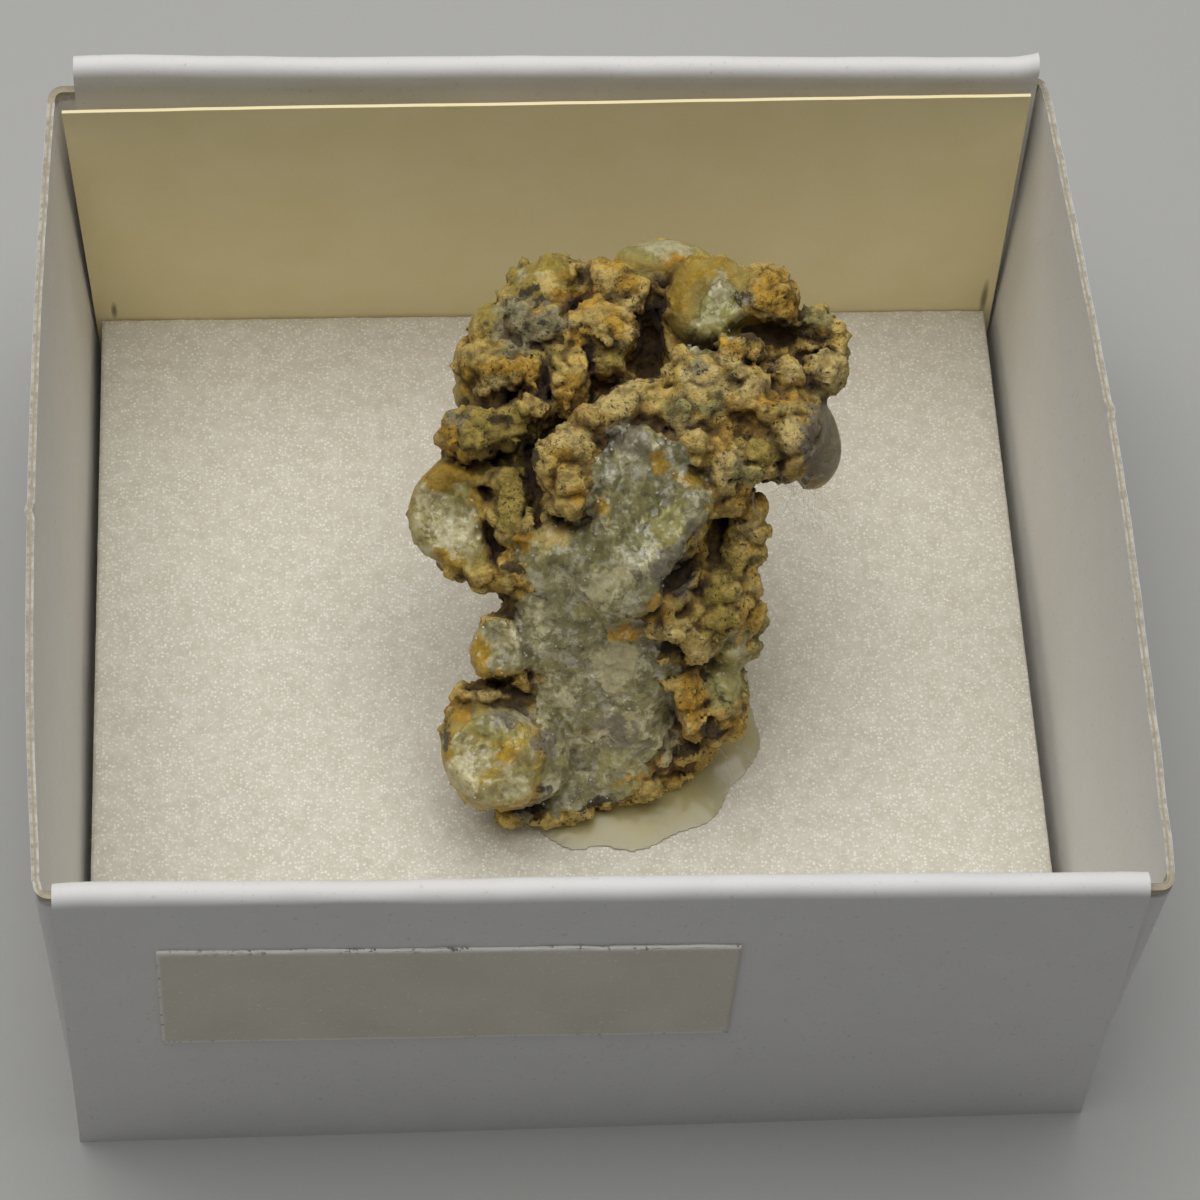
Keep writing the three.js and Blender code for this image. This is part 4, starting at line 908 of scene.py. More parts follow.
def joined(name, *parts):
    """One mesh object of several parts, with every face turned to point out. A part is its vertices in
    millimetres, its faces and how bare its core is, in all or at each vertex."""
    points, faces, cores, first = [], [], [], 0
    for vertices, part_faces, core in parts:
        points.append(vertices)
        faces += [[i + first for i in face] for face in part_faces]
        cores.append(np.broadcast_to(core, len(vertices)))
        first += len(vertices)
    made = mesh_piece(name, np.concatenate(points) * MM, faces, core=np.concatenate(cores))
    work = bmesh.new()
    work.from_mesh(made.data)
    bmesh.ops.recalc_face_normals(work, faces=work.faces)
    work.to_mesh(made.data)
    work.free()
    return made


def sheet_between(corners, across, up):
    """Rows of points over a four-cornered outline, given bottom left, bottom right, top right, top left."""
    a, b, c, d = (np.array(p, float) for p in corners)
    s, t = np.linspace(0, 1, across)[None, :, None], np.linspace(0, 1, up)[:, None, None]
    return (1 - t) * ((1 - s) * a + s * b) + t * ((1 - s) * d + s * c)


def upright_sheet(grid, front, thick, relief):
    """A thin upright sheet: a grid of (x, z), its front plane, its thickness, and how far each point stands
    off."""
    rings = []
    for row, off in zip(grid, relief):
        face = [(x, front + o, z) for (x, z), o in zip(row, off)]
        back = [(x, front + thick + o, z) for (x, z), o in zip(row[::-1], off[::-1])]
        rings.append(face + back)
    return loft(rings)


def slab(low, high, steps=(24, 24)):
    """A closed box of a few hundred faces."""
    x, y = (np.linspace(low[m], high[m], steps[m]) for m in (0, 1))
    rings = [[(a, at, high[2]) for a in x] + [(a, at, low[2]) for a in x[::-1]] for at in y]
    return loft(rings)


# ---------------------------------------------------------------- the card tray
BOX_WIDTH, BOX_DEPTH, BOX_HEIGHT = 40.0, 40.0, 19.0
FLOOR_CARD, SINGLE_WALL, DOUBLE_WALL = 0.5, 0.45, 1.05
# How far out the folded walls stand at their foot and at their head, and how much their fold is lifted, each
# at its left and at its right end. Below, how far the card strays and over what length, in millimetres.
FRONT_WALL = {"away": -1, "foot": (-0.16, -0.45), "head": (0.0, 0.42), "lift": (-0.12, -0.08)}
BACK_WALL = {"away": 1, "foot": (0.0, 0.0), "head": (0.62, 0.15), "lift": (-0.05, 0.3)}
FOLD_BOW, FOLD_DENTS, FOLD_RISE = (0.05, 9.0), (0.02, 1.6), (0.04, 3.5)
UNEVEN_FROM, UNEVEN_OVER, UNEVEN_LOW = 14.0, 5.0, 0.3  # where that grows up the wall, and its share below
END_FROM, END_OVER = 18.6, 1.4  # where along the wall the fold's ends start to lift
FOLD_PLAIN, FOLD_NEAR = 15.0, 15.8  # the plain wall below the fold, and where the rows of faces get closer
FOLD_STEPS, PLAIN_ROWS, NEAR_ROWS, ROUND_ROWS = 161, 12, 8, 17  # points along the wall, and up its section
FOLD_STRETCH, SIDE_STRETCH = (1, 1, 0.4), (1, 1, 0.5)  # the card's waves are longer up a wall than along it
# How far each side wall leans out at its top and how high its raw edge stands, in front and at the back, and
# where a burr sticks out of it.
LEFT_WALL = {"side": -1, "flare": (0.68, 1.12), "top": (18.75, 17.1), "burr": -1.9}
RIGHT_WALL = {"side": 1, "flare": (1.02, 0.5), "top": (18.55, 17.7), "burr": 2.2}
SIDE_BOW = 0.5
SIDE_WAVES, SIDE_DENTS, EDGE_WAVES = (0.06, 11.0), (0.015, 1.5), (0.06, 4.0)
SIDE_STEPS, SIDE_ROWS, CORNER_STEPS = 200, 24, 9
FREE_TO, FREE_OVER = 19.0, 4.0  # the side walls' waves fade out towards their corners
FUR, FUR_SIZE = 0.06, 0.9  # the ragged cut along the raw edge
EDGE_FROM, EDGE_SOFT = 16.6, 0.4  # the height from which a wall counts as its edge
BURR, BURR_WIDTH = 0.12, 0.35
TUCKED_IN, TUCK_DEPTH, CORNER_BEND = 1.0, 0.3, 0.6  # how a side wall's ends run into the folded walls
EDGE_THICK = 0.3  # of the side walls' card as it shows
# Across a side wall's raw edge: how far in, as a share of the card, and how far that is cut pulp: 0.5 grey,
# 1 brown.
RAW_EDGE = [(0, 0), (0.05, 0.5), (0.34, 0.5), (0.42, 1), (0.62, 1), (0.7, 0.5), (0.95, 0.5), (1, 0)]
PULP_DIP = 0.002  # how much lower the brown core lies, as a share of the wall
WORN_CORNER, WORN_LEVEL = 19.5, 0.96  # past these the corners are worn down to the grey pulp
CARD_CREASE_DEG = 50


def stands_out(wall, x, z):
    """How far out a folded wall stands at x and z."""
    across, height = np.clip(x / BOX_WIDTH + 0.5, 0, 1), z / BOX_HEIGHT
    foot, head = (wall[k][0] + (wall[k][1] - wall[k][0]) * across for k in ("foot", "head"))
    return foot + (head - foot) * height


def folded_wall(wall, seed):
    """Card folded over double: up outside, round the top, down inside, a little uneven along its length."""
    radius = DOUBLE_WALL / 2
    heights = np.concatenate(
        [np.linspace(0, FOLD_PLAIN, PLAIN_ROWS), np.linspace(FOLD_NEAR, BOX_HEIGHT - radius, NEAR_ROWS)]
    )
    outside = [(0.0, z) for z in heights]
    turns = np.linspace(0, math.pi, ROUND_ROWS)[1:-1]
    fold = [(radius * (1 - math.cos(t)), BOX_HEIGHT - radius + radius * math.sin(t)) for t in turns]
    inside = [(DOUBLE_WALL, z) for z in heights[::-1]]
    section = np.array(outside + fold + inside)
    rings = np.zeros((FOLD_STEPS, len(section), 3))
    rings[..., 0] = np.linspace(-BOX_WIDTH / 2, BOX_WIDTH / 2, FOLD_STEPS)[:, None]
    rings[..., 1:] = section
    flat = rings.reshape(-1, 3)
    bow = waved(flat * FOLD_STRETCH, FOLD_BOW, seed) + waved(flat, FOLD_DENTS, seed + 1)
    high = np.clip((flat[:, 2] - UNEVEN_FROM) / UNEVEN_OVER, 0, 1)
    flat[:, 1] += bow * (UNEVEN_LOW + high)
    flat[:, 2] += high * waved(flat, FOLD_RISE, seed + 2)
    end = np.clip((np.abs(flat[:, 0]) - END_FROM) / END_OVER, 0, 1) ** 2
    flat[:, 2] += np.where(flat[:, 0] < 0, *wall["lift"]) * end * high
    flat[:, 1] = BOX_DEPTH / 2 - np.maximum(flat[:, 1], 0.0) + stands_out(wall, flat[:, 0], flat[:, 2])
    flat[:, 1] *= wall["away"]
    return (*loft(rings), 0.0)


def corner_line(height, wall, folded):
    """A side wall's outer line round one corner, on the right, with the step to its inner line at each
    point."""
    away = folded["away"]
    out = BOX_WIDTH / 2 + wall["flare"][away > 0] * height
    tuck = BOX_DEPTH / 2 - TUCK_DEPTH + stands_out(folded, wall["side"] * BOX_WIDTH / 2, height * BOX_HEIGHT)
    corner = [(BOX_WIDTH / 2 - TUCKED_IN, away * tuck, 0.0, away)]
    for turn in np.linspace(0, math.pi / 2, CORNER_STEPS):
        x, y = out - CORNER_BEND * (1 - math.sin(turn)), away * (tuck - CORNER_BEND * (1 - math.cos(turn)))
        corner.append((x, y, math.sin(turn), away * math.cos(turn)))
    return np.array(corner)


def wall_line(height, wall):
    """A side wall's whole outer line at a height from 0 to 1, from its front corner to its back one."""
    front, back = corner_line(height, wall, FRONT_WALL), corner_line(height, wall, BACK_WALL)[::-1]
    y = np.linspace(front[-1, 1], back[0, 1], SIDE_STEPS)[1:-1]
    flare = np.interp(y, (-BOX_DEPTH / 2, BOX_DEPTH / 2), wall["flare"])
    bow = SIDE_BOW * (1 - (2 * y / BOX_DEPTH) ** 2)
    between = np.stack([BOX_WIDTH / 2 + (flare + bow) * height, y, 0 * y + 1, 0 * y], 1)
    return np.concatenate([front, between, back])


def side_wall(wall, seed):
    """One layer of card with a raw, slightly furry top edge, bent round the corners into the folded walls."""
    foot, head = wall_line(0.0, wall), wall_line(1.0, wall)
    tops = np.interp(head[:, 1], (-BOX_DEPTH / 2, BOX_DEPTH / 2), wall["top"])
    heights = np.linspace(0, 1, SIDE_ROWS)
    places = [(0.0, h, 0) for h in heights[:-1]]
    places += [(inset, 1.0 - PULP_DIP * core, core) for inset, core in RAW_EDGE]
    places += [(1.0, h, 0) for h in heights[-2::-1]]
    rings, cores = [], []
    for low, high, top in zip(foot, head, tops):
        ring = []
        for inset, level, _ in places:
            x, y, step_x, step_y = low + (high - low) * level
            ring.append((x - inset * EDGE_THICK * step_x, y - inset * EDGE_THICK * step_y, level * top))
        rings.append(ring)
        worn = abs(high[1]) > WORN_CORNER
        cores.append([max(core, worn * (level > WORN_LEVEL)) for _, level, core in places])
    rings = np.array(rings)
    flat = rings.reshape(-1, 3)
    free = np.clip((FREE_TO - np.abs(flat[:, 1])) / FREE_OVER, 0, 1)
    flat[:, 0] += free * waved(flat * SIDE_STRETCH, SIDE_WAVES, seed) + waved(flat, SIDE_DENTS, seed + 1)
    edge = np.clip((flat[:, 2] - EDGE_FROM) / EDGE_SOFT, 0, 1)
    along = flat * (0, 1, 0)
    fur = FUR * rough(along, FUR_SIZE, seed + 2)
    flat[:, 2] += edge * (fur + waved(along, EDGE_WAVES, seed + 5))
    flat[:, 0] += BURR * edge * np.clip(1 - np.abs(flat[:, 1] - wall["burr"]) / BURR_WIDTH, 0, 1)
    flat[:, 0] *= wall["side"]
    return (*loft(rings), np.ravel(cores).astype(float))


def tray_piece():
    half = np.array([BOX_WIDTH - SINGLE_WALL, BOX_DEPTH - DOUBLE_WALL]) / 2
    made = joined(
        "folded_card_tray",
        folded_wall(FRONT_WALL, 71),
        folded_wall(BACK_WALL, 74),
        side_wall(LEFT_WALL, 77),
        side_wall(RIGHT_WALL, 81),
        (*slab((*-half, 0.0), (*half, FLOOR_CARD)), 0.0),
    )
    made.data.set_sharp_from_angle(angle=math.radians(CARD_CREASE_DEG))
    return made


def card_finish():
    """Coated white carton: matte, faintly mottled, scuffed grey along folds, brown pulp at the cut edges."""
    made, tree, _, cloud = new_finish(
        "coated_white_carton", mottle=(2.5, 3.0, 0.5), pulp=(0.25, 3.0, 0.7), fray=(0.5, 3.0, 0.7)
    )
    mottle, pulp, fray = cloud.values()
    core = add(tree, "ShaderNodeAttribute", attribute_name="core").outputs["Fac"]
    deep = weighed(tree, core, (fray, 0.8))
    cut = coated(tree, "#a39c8c", ("#c8c2b4", 1.0, (fray, 0.4, 0.6)))
    brown = coated(tree, "#8f8062", ("#bdb298", pulp))
    base = coated(
        tree,
        "#e3e1dd",
        ("#e7e5e1", 1.0, (mottle, 0.3, 0.7)),
        ("#d2cec6", 1.0, (pulp, 0.62, 0.72)),
        (cut, 1.0, (core, 0.2, 0.45)),
        (brown, 1.0, (deep, 1.05, 1.4)),
    )
    look = {
        "Base Color": base,
        "Roughness": add(tree, "ShaderNodeMapRange", {"Value": mottle, "To Min": 0.5, "To Max": 0.68}),
        "Normal": add(tree, "ShaderNodeBump", {"Height": pulp, "Strength": 0.18, "Distance": 0.03 * MM}),
    }
    return surfaced(made, look)


# ---------------------------------------------------------------- the foam pad
FOAM_LOW = (-19.55, -18.4, 0.8)
FOAM_HIGH = (19.3, 18.3, 4.1)
FOAM_STEP = 0.19
FOAM_WAVES = (0.05, 2.5)
FOAM_SINK = 0.03  # how far the highest cell walls lie below the pad's full height
FOAM_CELL, CELL_HEIGHT, CELL_DISH = 0.34, 0.07, 0.05
RIM_ROUND, RIM_DROP = 0.5, 0.12
FOAM_LEVELS = (3.4, 2.4, 1.5)  # heights of the rows down its sides
SIDE_FRAY, FRAY_SIZE = 0.03, 0.5
GLINT_CELL = 0.13 * MM  # how far apart the tiny bright walls lie


def foam_piece():
    """Fine-celled foam: a flat top of burst cells, straight cut sides."""
    xs, ys = (np.append(np.arange(FOAM_LOW[m], FOAM_HIGH[m] + 1e-6, FOAM_STEP), FOAM_HIGH[m]) for m in (0, 1))
    top = np.array([(x, y, FOAM_HIGH[2]) for y in ys for x in xs])
    distance, _, _, pick = nearest_cell(top, FOAM_CELL, 91)
    cells = CELL_HEIGHT * hashed(pick, 92) + CELL_DISH * distance
    soft = waved(top, FOAM_WAVES, 93)
    rim = np.minimum(top[:, :2] - FOAM_LOW[:2], FOAM_HIGH[:2] - top[:, :2]).min(axis=1)
    rounded = RIM_DROP * np.clip(1 - rim / RIM_ROUND, 0, 1) ** 2
    top[:, 2] -= FOAM_SINK + cells - soft * np.clip(rim, 0, 1) + rounded
    index = np.arange(len(top)).reshape(len(ys), len(xs))
    quads = np.stack([index[:-1, :-1], index[:-1, 1:], index[1:, 1:], index[1:, :-1]], -1)
    faces = quads.reshape(-1, 4).tolist()
    border = np.concatenate([index[0, :-1], index[:-1, -1], index[-1, :0:-1], index[:0:-1, 0]])
    rows, last = [top], border
    for level in (*FOAM_LEVELS, FOAM_LOW[2]):
        ring = top[border].copy()
        ring[:, 2] = level
        if level > FOAM_LOW[2]:
            ring[:, :2] += SIDE_FRAY * np.stack([noise(ring, FRAY_SIZE, seed) for seed in (94, 95)], 1)
        ring[:, :2] = np.clip(ring[:, :2], FOAM_LOW[:2], FOAM_HIGH[:2])
        here = sum(len(r) for r in rows) + np.arange(len(border))
        faces += np.stack([last, here, np.roll(here, -1), np.roll(last, -1)], -1).tolist()
        rows.append(ring)
        last = here
    faces.append(last[::-1].tolist())
    return joined("foam_sheet", (np.concatenate(rows), faces, 0.0))


def foam_finish():
    """White polyethylene foam: matte, with painted glints: tiny bright spots in its colour where cell walls
    catch the light.
    """
    made, tree, place, cloud = new_finish(
        "white_polyethylene_foam", soft=(0.7, 4.0, 0.7), grain=(0.15, 3.0, 0.7)
    )
    cells = add(tree, "ShaderNodeTexVoronoi", {"Vector": place, "Scale": 1 / GLINT_CELL})
    chance = add(tree, "ShaderNodeSeparateColor", {"Color": cells.outputs["Color"]}).outputs["Red"]
    base = coated(
        tree,
        "#c7c0ae",
        ("#d4cebe", 1.0, (cloud["soft"], 0.35, 0.65)),
        # painted glints: tiny spots lightened where cell walls catch the light
        ("#f6f2e6", 1.0, (cells.outputs["Distance"], 0.6, 0.1), (chance, 0.1, 1.0)),
    )
    bump = add(tree, "ShaderNodeBump", {"Height": cloud["grain"], "Strength": 0.5, "Distance": 0.06 * MM})
    return surfaced(made, {"Base Color": base, "Roughness": 0.6, "Normal": bump})


# ---------------------------------------------------------------- the name card and the number label
CARD_OUTLINE = [(-19.68, 1.0), (19.66, 1.0), (19.66, 18.2), (-20.5, 17.7)]
# Dark soft strokes painted on the card near its foot.
CARD_DARK_STROKES = [(19.24, 4.7, 0.14, 1.1), (-19.0, 4.5, 0.12, 0.5)]  # x, z and half lengths along both
CARD_THICK, CARD_FRONT = 0.16, 18.4
CARD_POINTS, LABEL_POINTS = (90, 44), (140, 40)  # across and up
CARD_BOW, CARD_DENTS = (0.06, 12.0), (0.01, 1.5)
CARD_FORWARD = 0.05  # how far the card stands forward of its front plane
LABEL_WIDTH, LABEL_HEIGHT, LABEL_THICK = 21.6, 7.0, 0.12
LABEL_CENTRE = (-5.6, 11.85)
LABEL_TURN_DEG = -0.36
LABEL_BACK = 20.03
LABEL_BITE = 0.01  # how far its back is pressed into the wall
LABEL_WAVES = (0.01, 2.0)
TORN_FINE, TORN_BROAD = (0.09, 0.35), (0.05, 1.1)  # how deep the torn edge is bitten, and over what length
TORN_REACH = 0.6
BARE_RIM, TORN_DEEPEST = 0.16, 0.12  # how wide the bare fibres show, and where the torn edge ends


def name_card_piece():
    grid = sheet_between(CARD_OUTLINE, *CARD_POINTS)
    flat = np.concatenate([grid.reshape(-1, 2), np.zeros((grid.size // 2, 1))], 1)
    bow = waved(flat, CARD_BOW, 101) + waved(flat, CARD_DENTS, 102)
    relief = bow.reshape(grid.shape[:2]) - CARD_FORWARD
    made = joined("cream_name_card", (*upright_sheet(grid, CARD_FRONT, CARD_THICK, relief), 0.0))
    made.data.set_sharp_from_angle(angle=math.radians(CARD_CREASE_DEG))
    return made


def label_piece():
    """A strip of label paper, guillotined on three sides and torn from its roll along the top."""
    w, h = LABEL_WIDTH / 2, LABEL_HEIGHT / 2
    grid = sheet_between([(-w, -h), (w, -h), (w, h), (-w, h)], *LABEL_POINTS)
    x, z = grid[..., 0], grid[..., 1]
    spot = np.stack([x.ravel(), np.zeros(x.size), np.full(x.size, 1.0)], 1)
    torn = np.abs(waved(spot, TORN_FINE, 111)) + np.abs(waved(spot, TORN_BROAD, 112))
    z = z - np.clip((z - h + TORN_REACH) / TORN_REACH, 0, 1) * torn.reshape(x.shape)
    sin, cos = math.sin(math.radians(LABEL_TURN_DEG)), math.cos(math.radians(LABEL_TURN_DEG))
    grid = np.stack([LABEL_CENTRE[0] + x * cos - z * sin, LABEL_CENTRE[1] + x * sin + z * cos], -1)
    relief = waved(spot, LABEL_WAVES, 113).reshape(x.shape)
    vertices, faces = upright_sheet(grid, LABEL_BITE - LABEL_BACK - LABEL_THICK, LABEL_THICK, relief)
    vertices[:, 1] -= stands_out(FRONT_WALL, vertices[:, 0], vertices[:, 2])
    inset = np.minimum.reduce([x + w, z + h, h - TORN_DEEPEST - z])
    rim = np.concatenate([np.clip(1 - row / BARE_RIM, 0, 1) for row in inset for row in (row, row[::-1])])
    return joined("paper_label", (vertices, faces, rim))


def paper_finish(name, light, dark, fibre, dark_strokes=()):
    """Uncoated paper stock: matte, fibrous, a little cloudy, paler and rough at torn or cut edges, soiled in
    specks there, with any dark soft strokes that are given."""
    made, tree, place, cloud = new_finish(
        name, haze=(3.0, 3.0, 0.5), pulp=(0.18, 4.0, 0.7), soil=(0.4, 3.0, 0.7)
    )
    core = add(tree, "ShaderNodeAttribute", attribute_name="core").outputs["Fac"]
    base = coated(
        tree,
        dark,
        (light, 1.0, (cloud["haze"], 0.3, 0.7)),
        (fibre, 1.0, (cloud["pulp"], 0.6, 0.75)),
        (fibre, core),
        ("#4a3a26", 0.8, core, (cloud["soil"], 0.58, 0.66)),
    )
    for x, z, wide, high in dark_strokes:
        arm = add(tree, "ShaderNodeVectorMath", {0: place, 1: (x * MM, 0, z * MM)}, operation="SUBTRACT")
        flat = (1 / (wide * MM), 0, 1 / (high * MM))
        arm = add(tree, "ShaderNodeVectorMath", {0: arm, 1: flat}, operation="MULTIPLY")
        reach = add(tree, "ShaderNodeVectorMath", {0: arm}, operation="LENGTH").outputs["Value"]
        base = coated(tree, base, ("#4e4230", 0.7, (reach, 1.35, 0.4)))
    bump = add(tree, "ShaderNodeBump", {"Height": cloud["pulp"], "Strength": 0.2, "Distance": 0.03 * MM})
    return surfaced(made, {"Base Color": base, "Roughness": 0.82, "Normal": bump})


# ---------------------------------------------------------------- the hot glue
GLUE_FOOT = 3.93
GLUE_LUMPS = [
    (1.7, -3.4, 3.0, 7.6, 7.5, 1.75),
    (3.6, -1.6, 2.8, 3.4, 4.4, 4.3),  # where it has crept up the stone's right side
]
GLUE_LOW, GLUE_HIGH = np.array([-6.0, -10.0, 3.6]), np.array([8.4, 4.0, 8.0])
GLUE_CELL, GLUE_BLEND = 0.16, 1.2
GLUE_SKIN = 0.02  # the least that its foot stands above the plane it is cut at
GLUE_CREASE_DEG = 40


def glue_piece():
    """A puddle of hot glue that has run out round the stone's foot and set with a rounded rim."""
    field = Field(GLUE_LOW, GLUE_HIGH, GLUE_CELL)
    for lump in GLUE_LUMPS:
        field.value = smooth_min(field.value, lump_distance(lump, *field.bent), GLUE_BLEND)
    height = np.meshgrid(*field.axes, indexing="ij")[2]
    field.value = np.maximum(field.value, GLUE_FOOT - height)
    vertices, quads = surface_of(field)
    vertices[:, 2] = np.maximum(vertices[:, 2], GLUE_FOOT + GLUE_SKIN)
    made = mesh_piece("hot_glue_puddle", vertices * MM, quads.tolist(), depth=vertices[:, 2] - GLUE_FOOT)
    made.data.set_sharp_from_angle(angle=math.radians(GLUE_CREASE_DEG))
    return made


def glue_finish():
    """Hot-melt glue: glossy, cloudy and see-through, pale on the foam where it is thin, olive where deep."""
    made, tree, _, cloud = new_finish("hot_melt_glue", haze=(1.5, 2.0, 0.5), wave=(1.3, 2.0, 0.5))
    depth = add(tree, "ShaderNodeAttribute", attribute_name="depth").outputs["Fac"]
    deep = weighed(tree, depth, (cloud["haze"], 0.5))
    base = coated(tree, "#d2cab0", ("#c9bd88", 1.0, (deep, 0.2, 0.6)), ("#b8a85e", 1.0, (deep, 0.6, 1.5)))
    bump = add(tree, "ShaderNodeBump", {"Height": cloud["wave"], "Strength": 1.0, "Distance": 0.12 * MM})
    look = {
        "Base Color": base,
        "Roughness": 0.22,
        "IOR": 1.45,
        "Transmission Weight": 0.3,
        "Subsurface Weight": 0.4,
        "Subsurface Radius": (1.0, 0.9, 0.6),
        "Subsurface Scale": 0.8 * MM,
        "Normal": bump,
    }
    murk = add(tree, "ShaderNodeVolumeAbsorption", {"Color": colour("#d8c890"), "Density": 110.0})
    return surfaced(made, look, Volume=murk)


# ---------------------------------------------------------------- small crystals on the broken faces
CRYSTALS_PER_MM2 = 1.0
CRYSTAL_WIDTH = (0.04, 0.1)
CORNER_UP = (0.785, 0.615, 0.0)  # turns a cube to stand on a corner
SQUASH = (1.0, 1.0, 0.75)  # which makes a rhomb of it
ANY_TURN = (6.3, 6.3, 6.3)
SUGARY_ENOUGH = 0.7


def crystal_nodes(finish):
    """Scatters small rhombs over the sugary share of a mesh."""
    group = bpy.data.node_groups.new("scattered_rhombs", "GeometryNodeTree")
    for name, kind in (("Geometry", "Geometry"), ("Per Square Metre", "Float"), ("Seed", "Int")):
        group.interface.new_socket(name, in_out="INPUT", socket_type=f"NodeSocket{kind}")
    group.interface.new_socket("Geometry", in_out="OUTPUT", socket_type="NodeSocketGeometry")
    given = add(group, "NodeGroupInput").outputs
    sugar = add(group, "GeometryNodeInputNamedAttribute", {"Name": "sugar"}, data_type="FLOAT")
    inputs = {"A": sugar, "B": SUGARY_ENOUGH}
    sugary = add(group, "FunctionNodeCompare", inputs, data_type="FLOAT", operation="GREATER_THAN")
    inputs = {"Mesh": given["Geometry"], "Selection": sugary}
    inputs |= {"Density": given["Per Square Metre"], "Seed": given["Seed"]}
    points = add(group, "GeometryNodeDistributePointsOnFaces", inputs)
    cube = add(group, "GeometryNodeMeshCube", {"Size": (1.0, 1.0, 1.0)})
    stood = add(group, "GeometryNodeTransform", {"Geometry": cube, "Rotation": CORNER_UP})
    rhomb = add(group, "GeometryNodeTransform", {"Geometry": stood, "Scale": SQUASH})
    inputs = {"Min": (0, 0, 0), "Max": ANY_TURN, "Seed": 5}
    turn = add(group, "FunctionNodeRandomValue", inputs, data_type="FLOAT_VECTOR")
    low, high = (w * MM for w in CRYSTAL_WIDTH)
    size = add(group, "FunctionNodeRandomValue", {"Min": low, "Max": high, "Seed": 6}, data_type="FLOAT")
    turned = add(group, "FunctionNodeEulerToRotation", {"Euler": turn})
    inputs = {"Points": points.outputs["Points"], "Instance": rhomb, "Rotation": turned, "Scale": size}
    placed = add(group, "GeometryNodeInstanceOnPoints", inputs)
    real = add(group, "GeometryNodeRealizeInstances", {"Geometry": placed})
    painted = add(group, "GeometryNodeSetMaterial", {"Geometry": real, "Material": finish})
    add(group, "NodeGroupOutput", {"Geometry": painted})
    return group


def crystal_piece(stone, finish):
    carrier = bpy.data.objects.new("crystal_carrier", stone.data.copy())
    bpy.context.scene.collection.objects.link(carrier)
    maker = carrier.modifiers.new("crystals", "NODES")
    maker.node_group = crystal_nodes(finish)
    sockets = {s.name: s.identifier for s in maker.node_group.interface.items_tree if s.in_out == "INPUT"}
    maker[sockets["Per Square Metre"]] = CRYSTALS_PER_MM2 / MM**2
    maker[sockets["Seed"]] = 7
    depsgraph = bpy.context.evaluated_depsgraph_get()
    mesh = bpy.data.meshes.new_from_object(carrier.evaluated_get(depsgraph))
    bpy.data.objects.remove(carrier)
    made = bpy.data.objects.new("small_rhombs", mesh)
    bpy.context.scene.collection.objects.link(made)
    return made


def crystal_finish():
    """Clear smithsonite: nearly colourless rhombs with bright faces."""
    made, tree, _, cloud = new_finish("clear_smithsonite", haze=(1.5, 2.0, 0.5))
    base = coated(tree, "#d6d1b6", ("#efece0", cloud["haze"]))
    return surfaced(made, {"Base Color": base, "Roughness": 0.15, "IOR": 1.62, "Transmission Weight": 0.3})


# ---------------------------------------------------------------- lint
# Loose fibres: both ends in u, v, w, and how far the middle strays.
FIBRES = [
    ((6.9, 4.9, 0.2), (9.0, 2.9, -0.6), 0.5),
    ((7.3, 4.4, 0.1), (9.6, 4.1, -0.8), 0.6),
    ((7.6, 5.0, 0.3), (8.3, 2.7, -0.3), 0.4),
    ((6.8, 3.9, 0.0), (8.8, 4.6, 0.2), 0.5),
    ((8.0, 4.8, 0.0), (9.3, 3.2, -0.9), 0.3),
    ((7.0, 4.5, 0.4), (7.9, 2.9, -0.5), 0.5),
    ((5.9, 4.6, 0.5), (6.4, 3.0, 0.2), 0.2),
    ((4.8, -5.6, -4.9), (5.7, -8.2, -7.0), 0.3),
    ((5.3, -5.4, -5.0), (6.6, -7.2, -7.2), 0.4),
]
FIBRES_PER_LOCK = 3
LOCK_SPREAD = 0.45
FIBRE_RADIUS = 0.008
FIBRE_STEPS, FIBRE_SIDES = 40, 5
FIBRE_BENDS = 3.1  # how many times a fibre changes its mind along its length
FIBRES_APART, ENDS_APART = 7.3, 0.73  # how far apart in the noise two fibres' bends lie, and their ends
ACROSS = (0.3, 0.2, 0.9)  # a way that no fibre runs


def fibre(start, end, stray, seed):
    """One thin fibre that wanders off the straight way between its ends."""
    along = np.linspace(0, 1, FIBRE_STEPS)[:, None]
    spots = np.repeat(along, 3, axis=1) * FIBRE_BENDS + seed * FIBRES_APART
    bend = np.stack([noise(spots, 1.0, 200 + 3 * seed + m) for m in range(3)], 1)
    path = start + along * (end - start) + stray * 4 * along * (1 - along) * bend
    ahead = np.gradient(path, axis=0)
    ahead /= np.linalg.norm(ahead, axis=1, keepdims=True)
    side = np.cross(ahead, ACROSS)
    side /= np.linalg.norm(side, axis=1, keepdims=True)
    up = np.cross(ahead, side)
    turns = np.linspace(0, 2 * math.pi, FIBRE_SIDES + 1)[:-1]
    rings = [path + FIBRE_RADIUS * (math.cos(t) * side + math.sin(t) * up) for t in turns]
    vertices, faces = loft(np.stack(rings, 1))
    return from_stone(vertices) / MM, faces, 0.0


def lint_piece():
    """Each row of the list is a loose lock of a few fibres."""
    strands = []
    for seed, (start, end, stray) in enumerate(FIBRES * FIBRES_PER_LOCK):
        spots = np.array([(seed, 0.5, 0.5), (seed, 2.5, 0.5), (seed, 0.5, 2.5)]) * ENDS_APART
        ends = (np.array(p) + LOCK_SPREAD * noise(spots + k, 1.0, 230) for k, p in enumerate((start, end)))
        strands.append(fibre(*ends, stray, seed))
    return joined("lint_fibres", *strands)


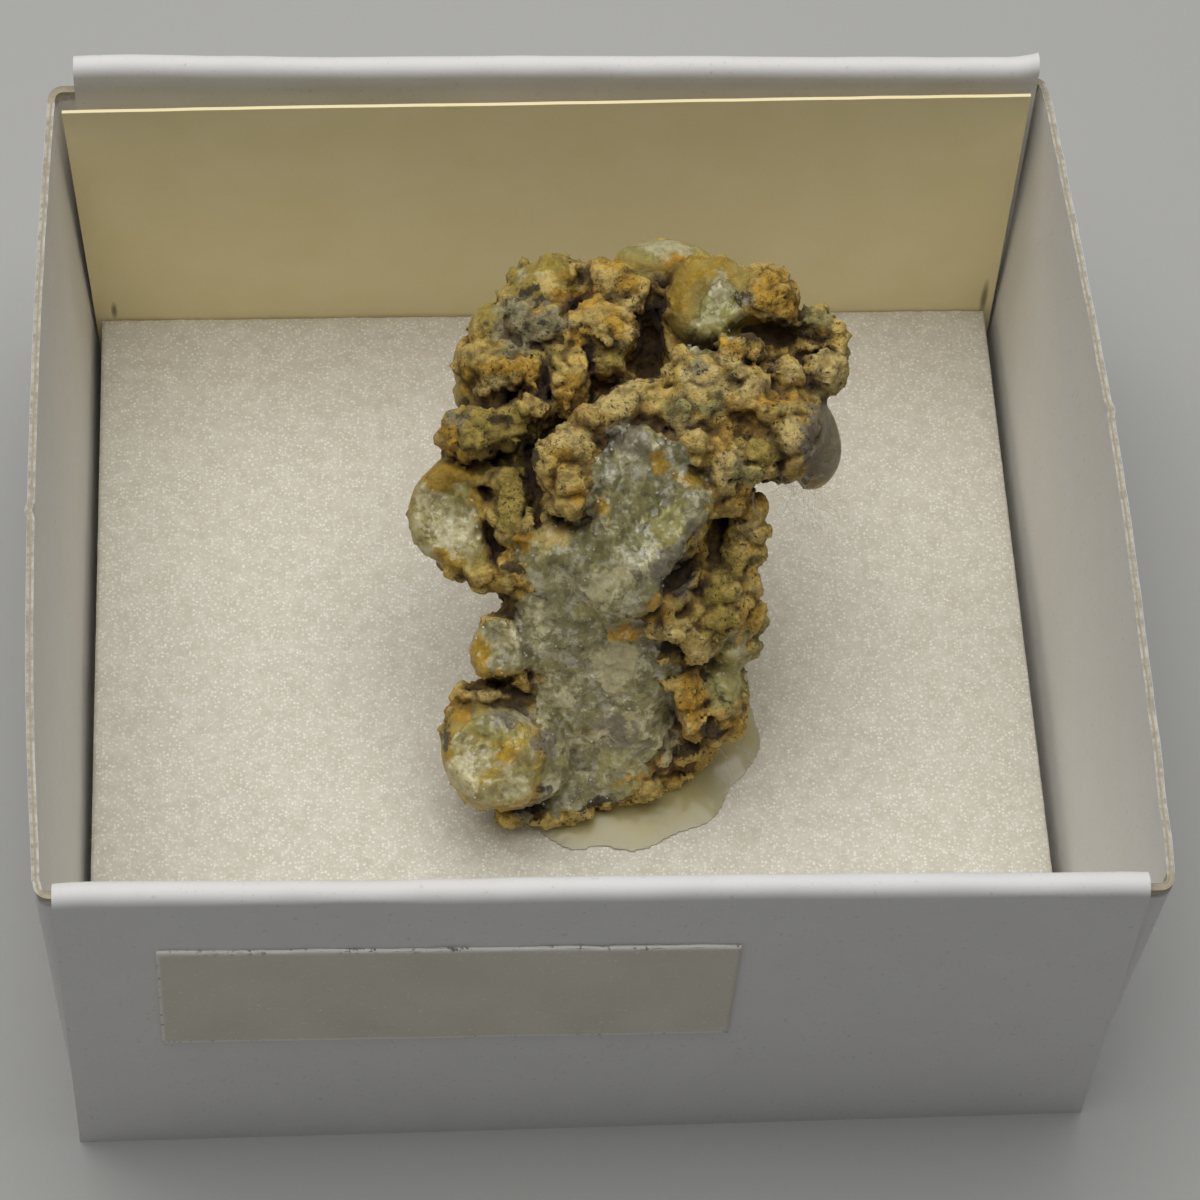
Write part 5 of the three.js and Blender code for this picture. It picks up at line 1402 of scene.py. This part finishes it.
def lint_finish():
    """Pale dust fibres, faintly see-through."""
    made, tree, _, cloud = new_finish("dust_fibre", haze=(0.6, 2.0, 0.5))
    base = coated(tree, "#b4afa2", ("#dcd8cc", cloud["haze"]))
    return surfaced(made, {"Base Color": base, "Roughness": 0.6, "Alpha": 0.3})


# ---------------------------------------------------------------- camera, light and floor
CAMERA_PLACE = (-0.009807, -0.100559, 0.155920)
CAMERA_TURN = (0.5999, -0.0421, -0.0477)
CAMERA_LENS, CAMERA_SENSOR = 131.34, 36
CAMERA_NEAR = 10 * MM
SOFTBOX_PLACE, SOFTBOX_WIDTH, SOFTBOX_WATTS = (-0.03, 0.06, 0.36), 0.42, 1.52
LIT_POINT = (0, 0, 10 * MM)
ROOM_LIGHT = 0.12


def camera():
    data = bpy.data.cameras.new("camera")
    data.lens, data.sensor_width = CAMERA_LENS, CAMERA_SENSOR
    data.clip_start = CAMERA_NEAR
    made = bpy.data.objects.new("camera", data)
    made.location, made.rotation_euler = CAMERA_PLACE, CAMERA_TURN
    bpy.context.scene.collection.objects.link(made)
    bpy.context.scene.camera = made


def softbox():
    data = bpy.data.lights.new("overhead_softbox", "AREA")
    data.size, data.energy = SOFTBOX_WIDTH, SOFTBOX_WATTS
    made = bpy.data.objects.new("overhead_softbox", data)
    made.location = SOFTBOX_PLACE
    made.rotation_euler = (Vector(LIT_POINT) - made.location).to_track_quat("-Z", "Y").to_euler()
    bpy.context.scene.collection.objects.link(made)


def room():
    """Dim room light from all round, and a board under the box."""
    world = bpy.data.worlds.new("studio")
    world.use_nodes = True
    world.node_tree.nodes["Background"].inputs["Color"].default_value = colour("#bcc4d2")
    world.node_tree.nodes["Background"].inputs["Strength"].default_value = ROOM_LIGHT
    bpy.context.scene.world = world
    bpy.context.scene.view_settings.view_transform = "Standard"
    corners = np.array([(-1.0, -1.0, 0.0), (1.0, -1.0, 0.0), (1.0, 1.0, 0.0), (-1.0, 1.0, 0.0)])
    floor = mesh_piece("floor", corners, [[0, 1, 2, 3]])
    board = new_finish("pale_matte_board")[0]
    floor.data.materials.append(surfaced(board, {"Base Color": colour("#b2b1ad"), "Roughness": 0.9}))


# ---------------------------------------------------------------- putting it together
camera()
softbox()
room()

stone = stone_piece()
stone.data.materials.append(stone_finish())
tray = tray_piece()
tray.data.materials.append(card_finish())
foam = foam_piece()
foam.data.materials.append(foam_finish())
name_card = name_card_piece()
name_card.data.materials.append(paper_finish("cream_card_stock", "#fbecbc", "#f6e7b2", "#fbf0c8", CARD_DARK_STROKES))
label = label_piece()
label.data.materials.append(paper_finish("gummed_label_paper", "#e2dbcb", "#d8d1c0", "#fbf8ef"))
glue = glue_piece()
glue.data.materials.append(glue_finish())
rhombs = crystal_piece(stone, crystal_finish())
lint = lint_piece()
lint.data.materials.append(lint_finish())

PLACES = [
    (stone, "smithsonite", "smithsonite"),
    (tray, "card_tray", "white_card"),
    (foam, "foam_pad", "white_foam"),
    (name_card, "name_card", "cream_card"),
    (label, "number_label", "label_paper"),
    (glue, "glue_blob", "clear_glue"),
    (rhombs, "smithsonite", "smithsonite"),
]
for piece, node, finish_slot in PLACES:
    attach(piece, "root")
    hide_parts(node)
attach(lint, "root")
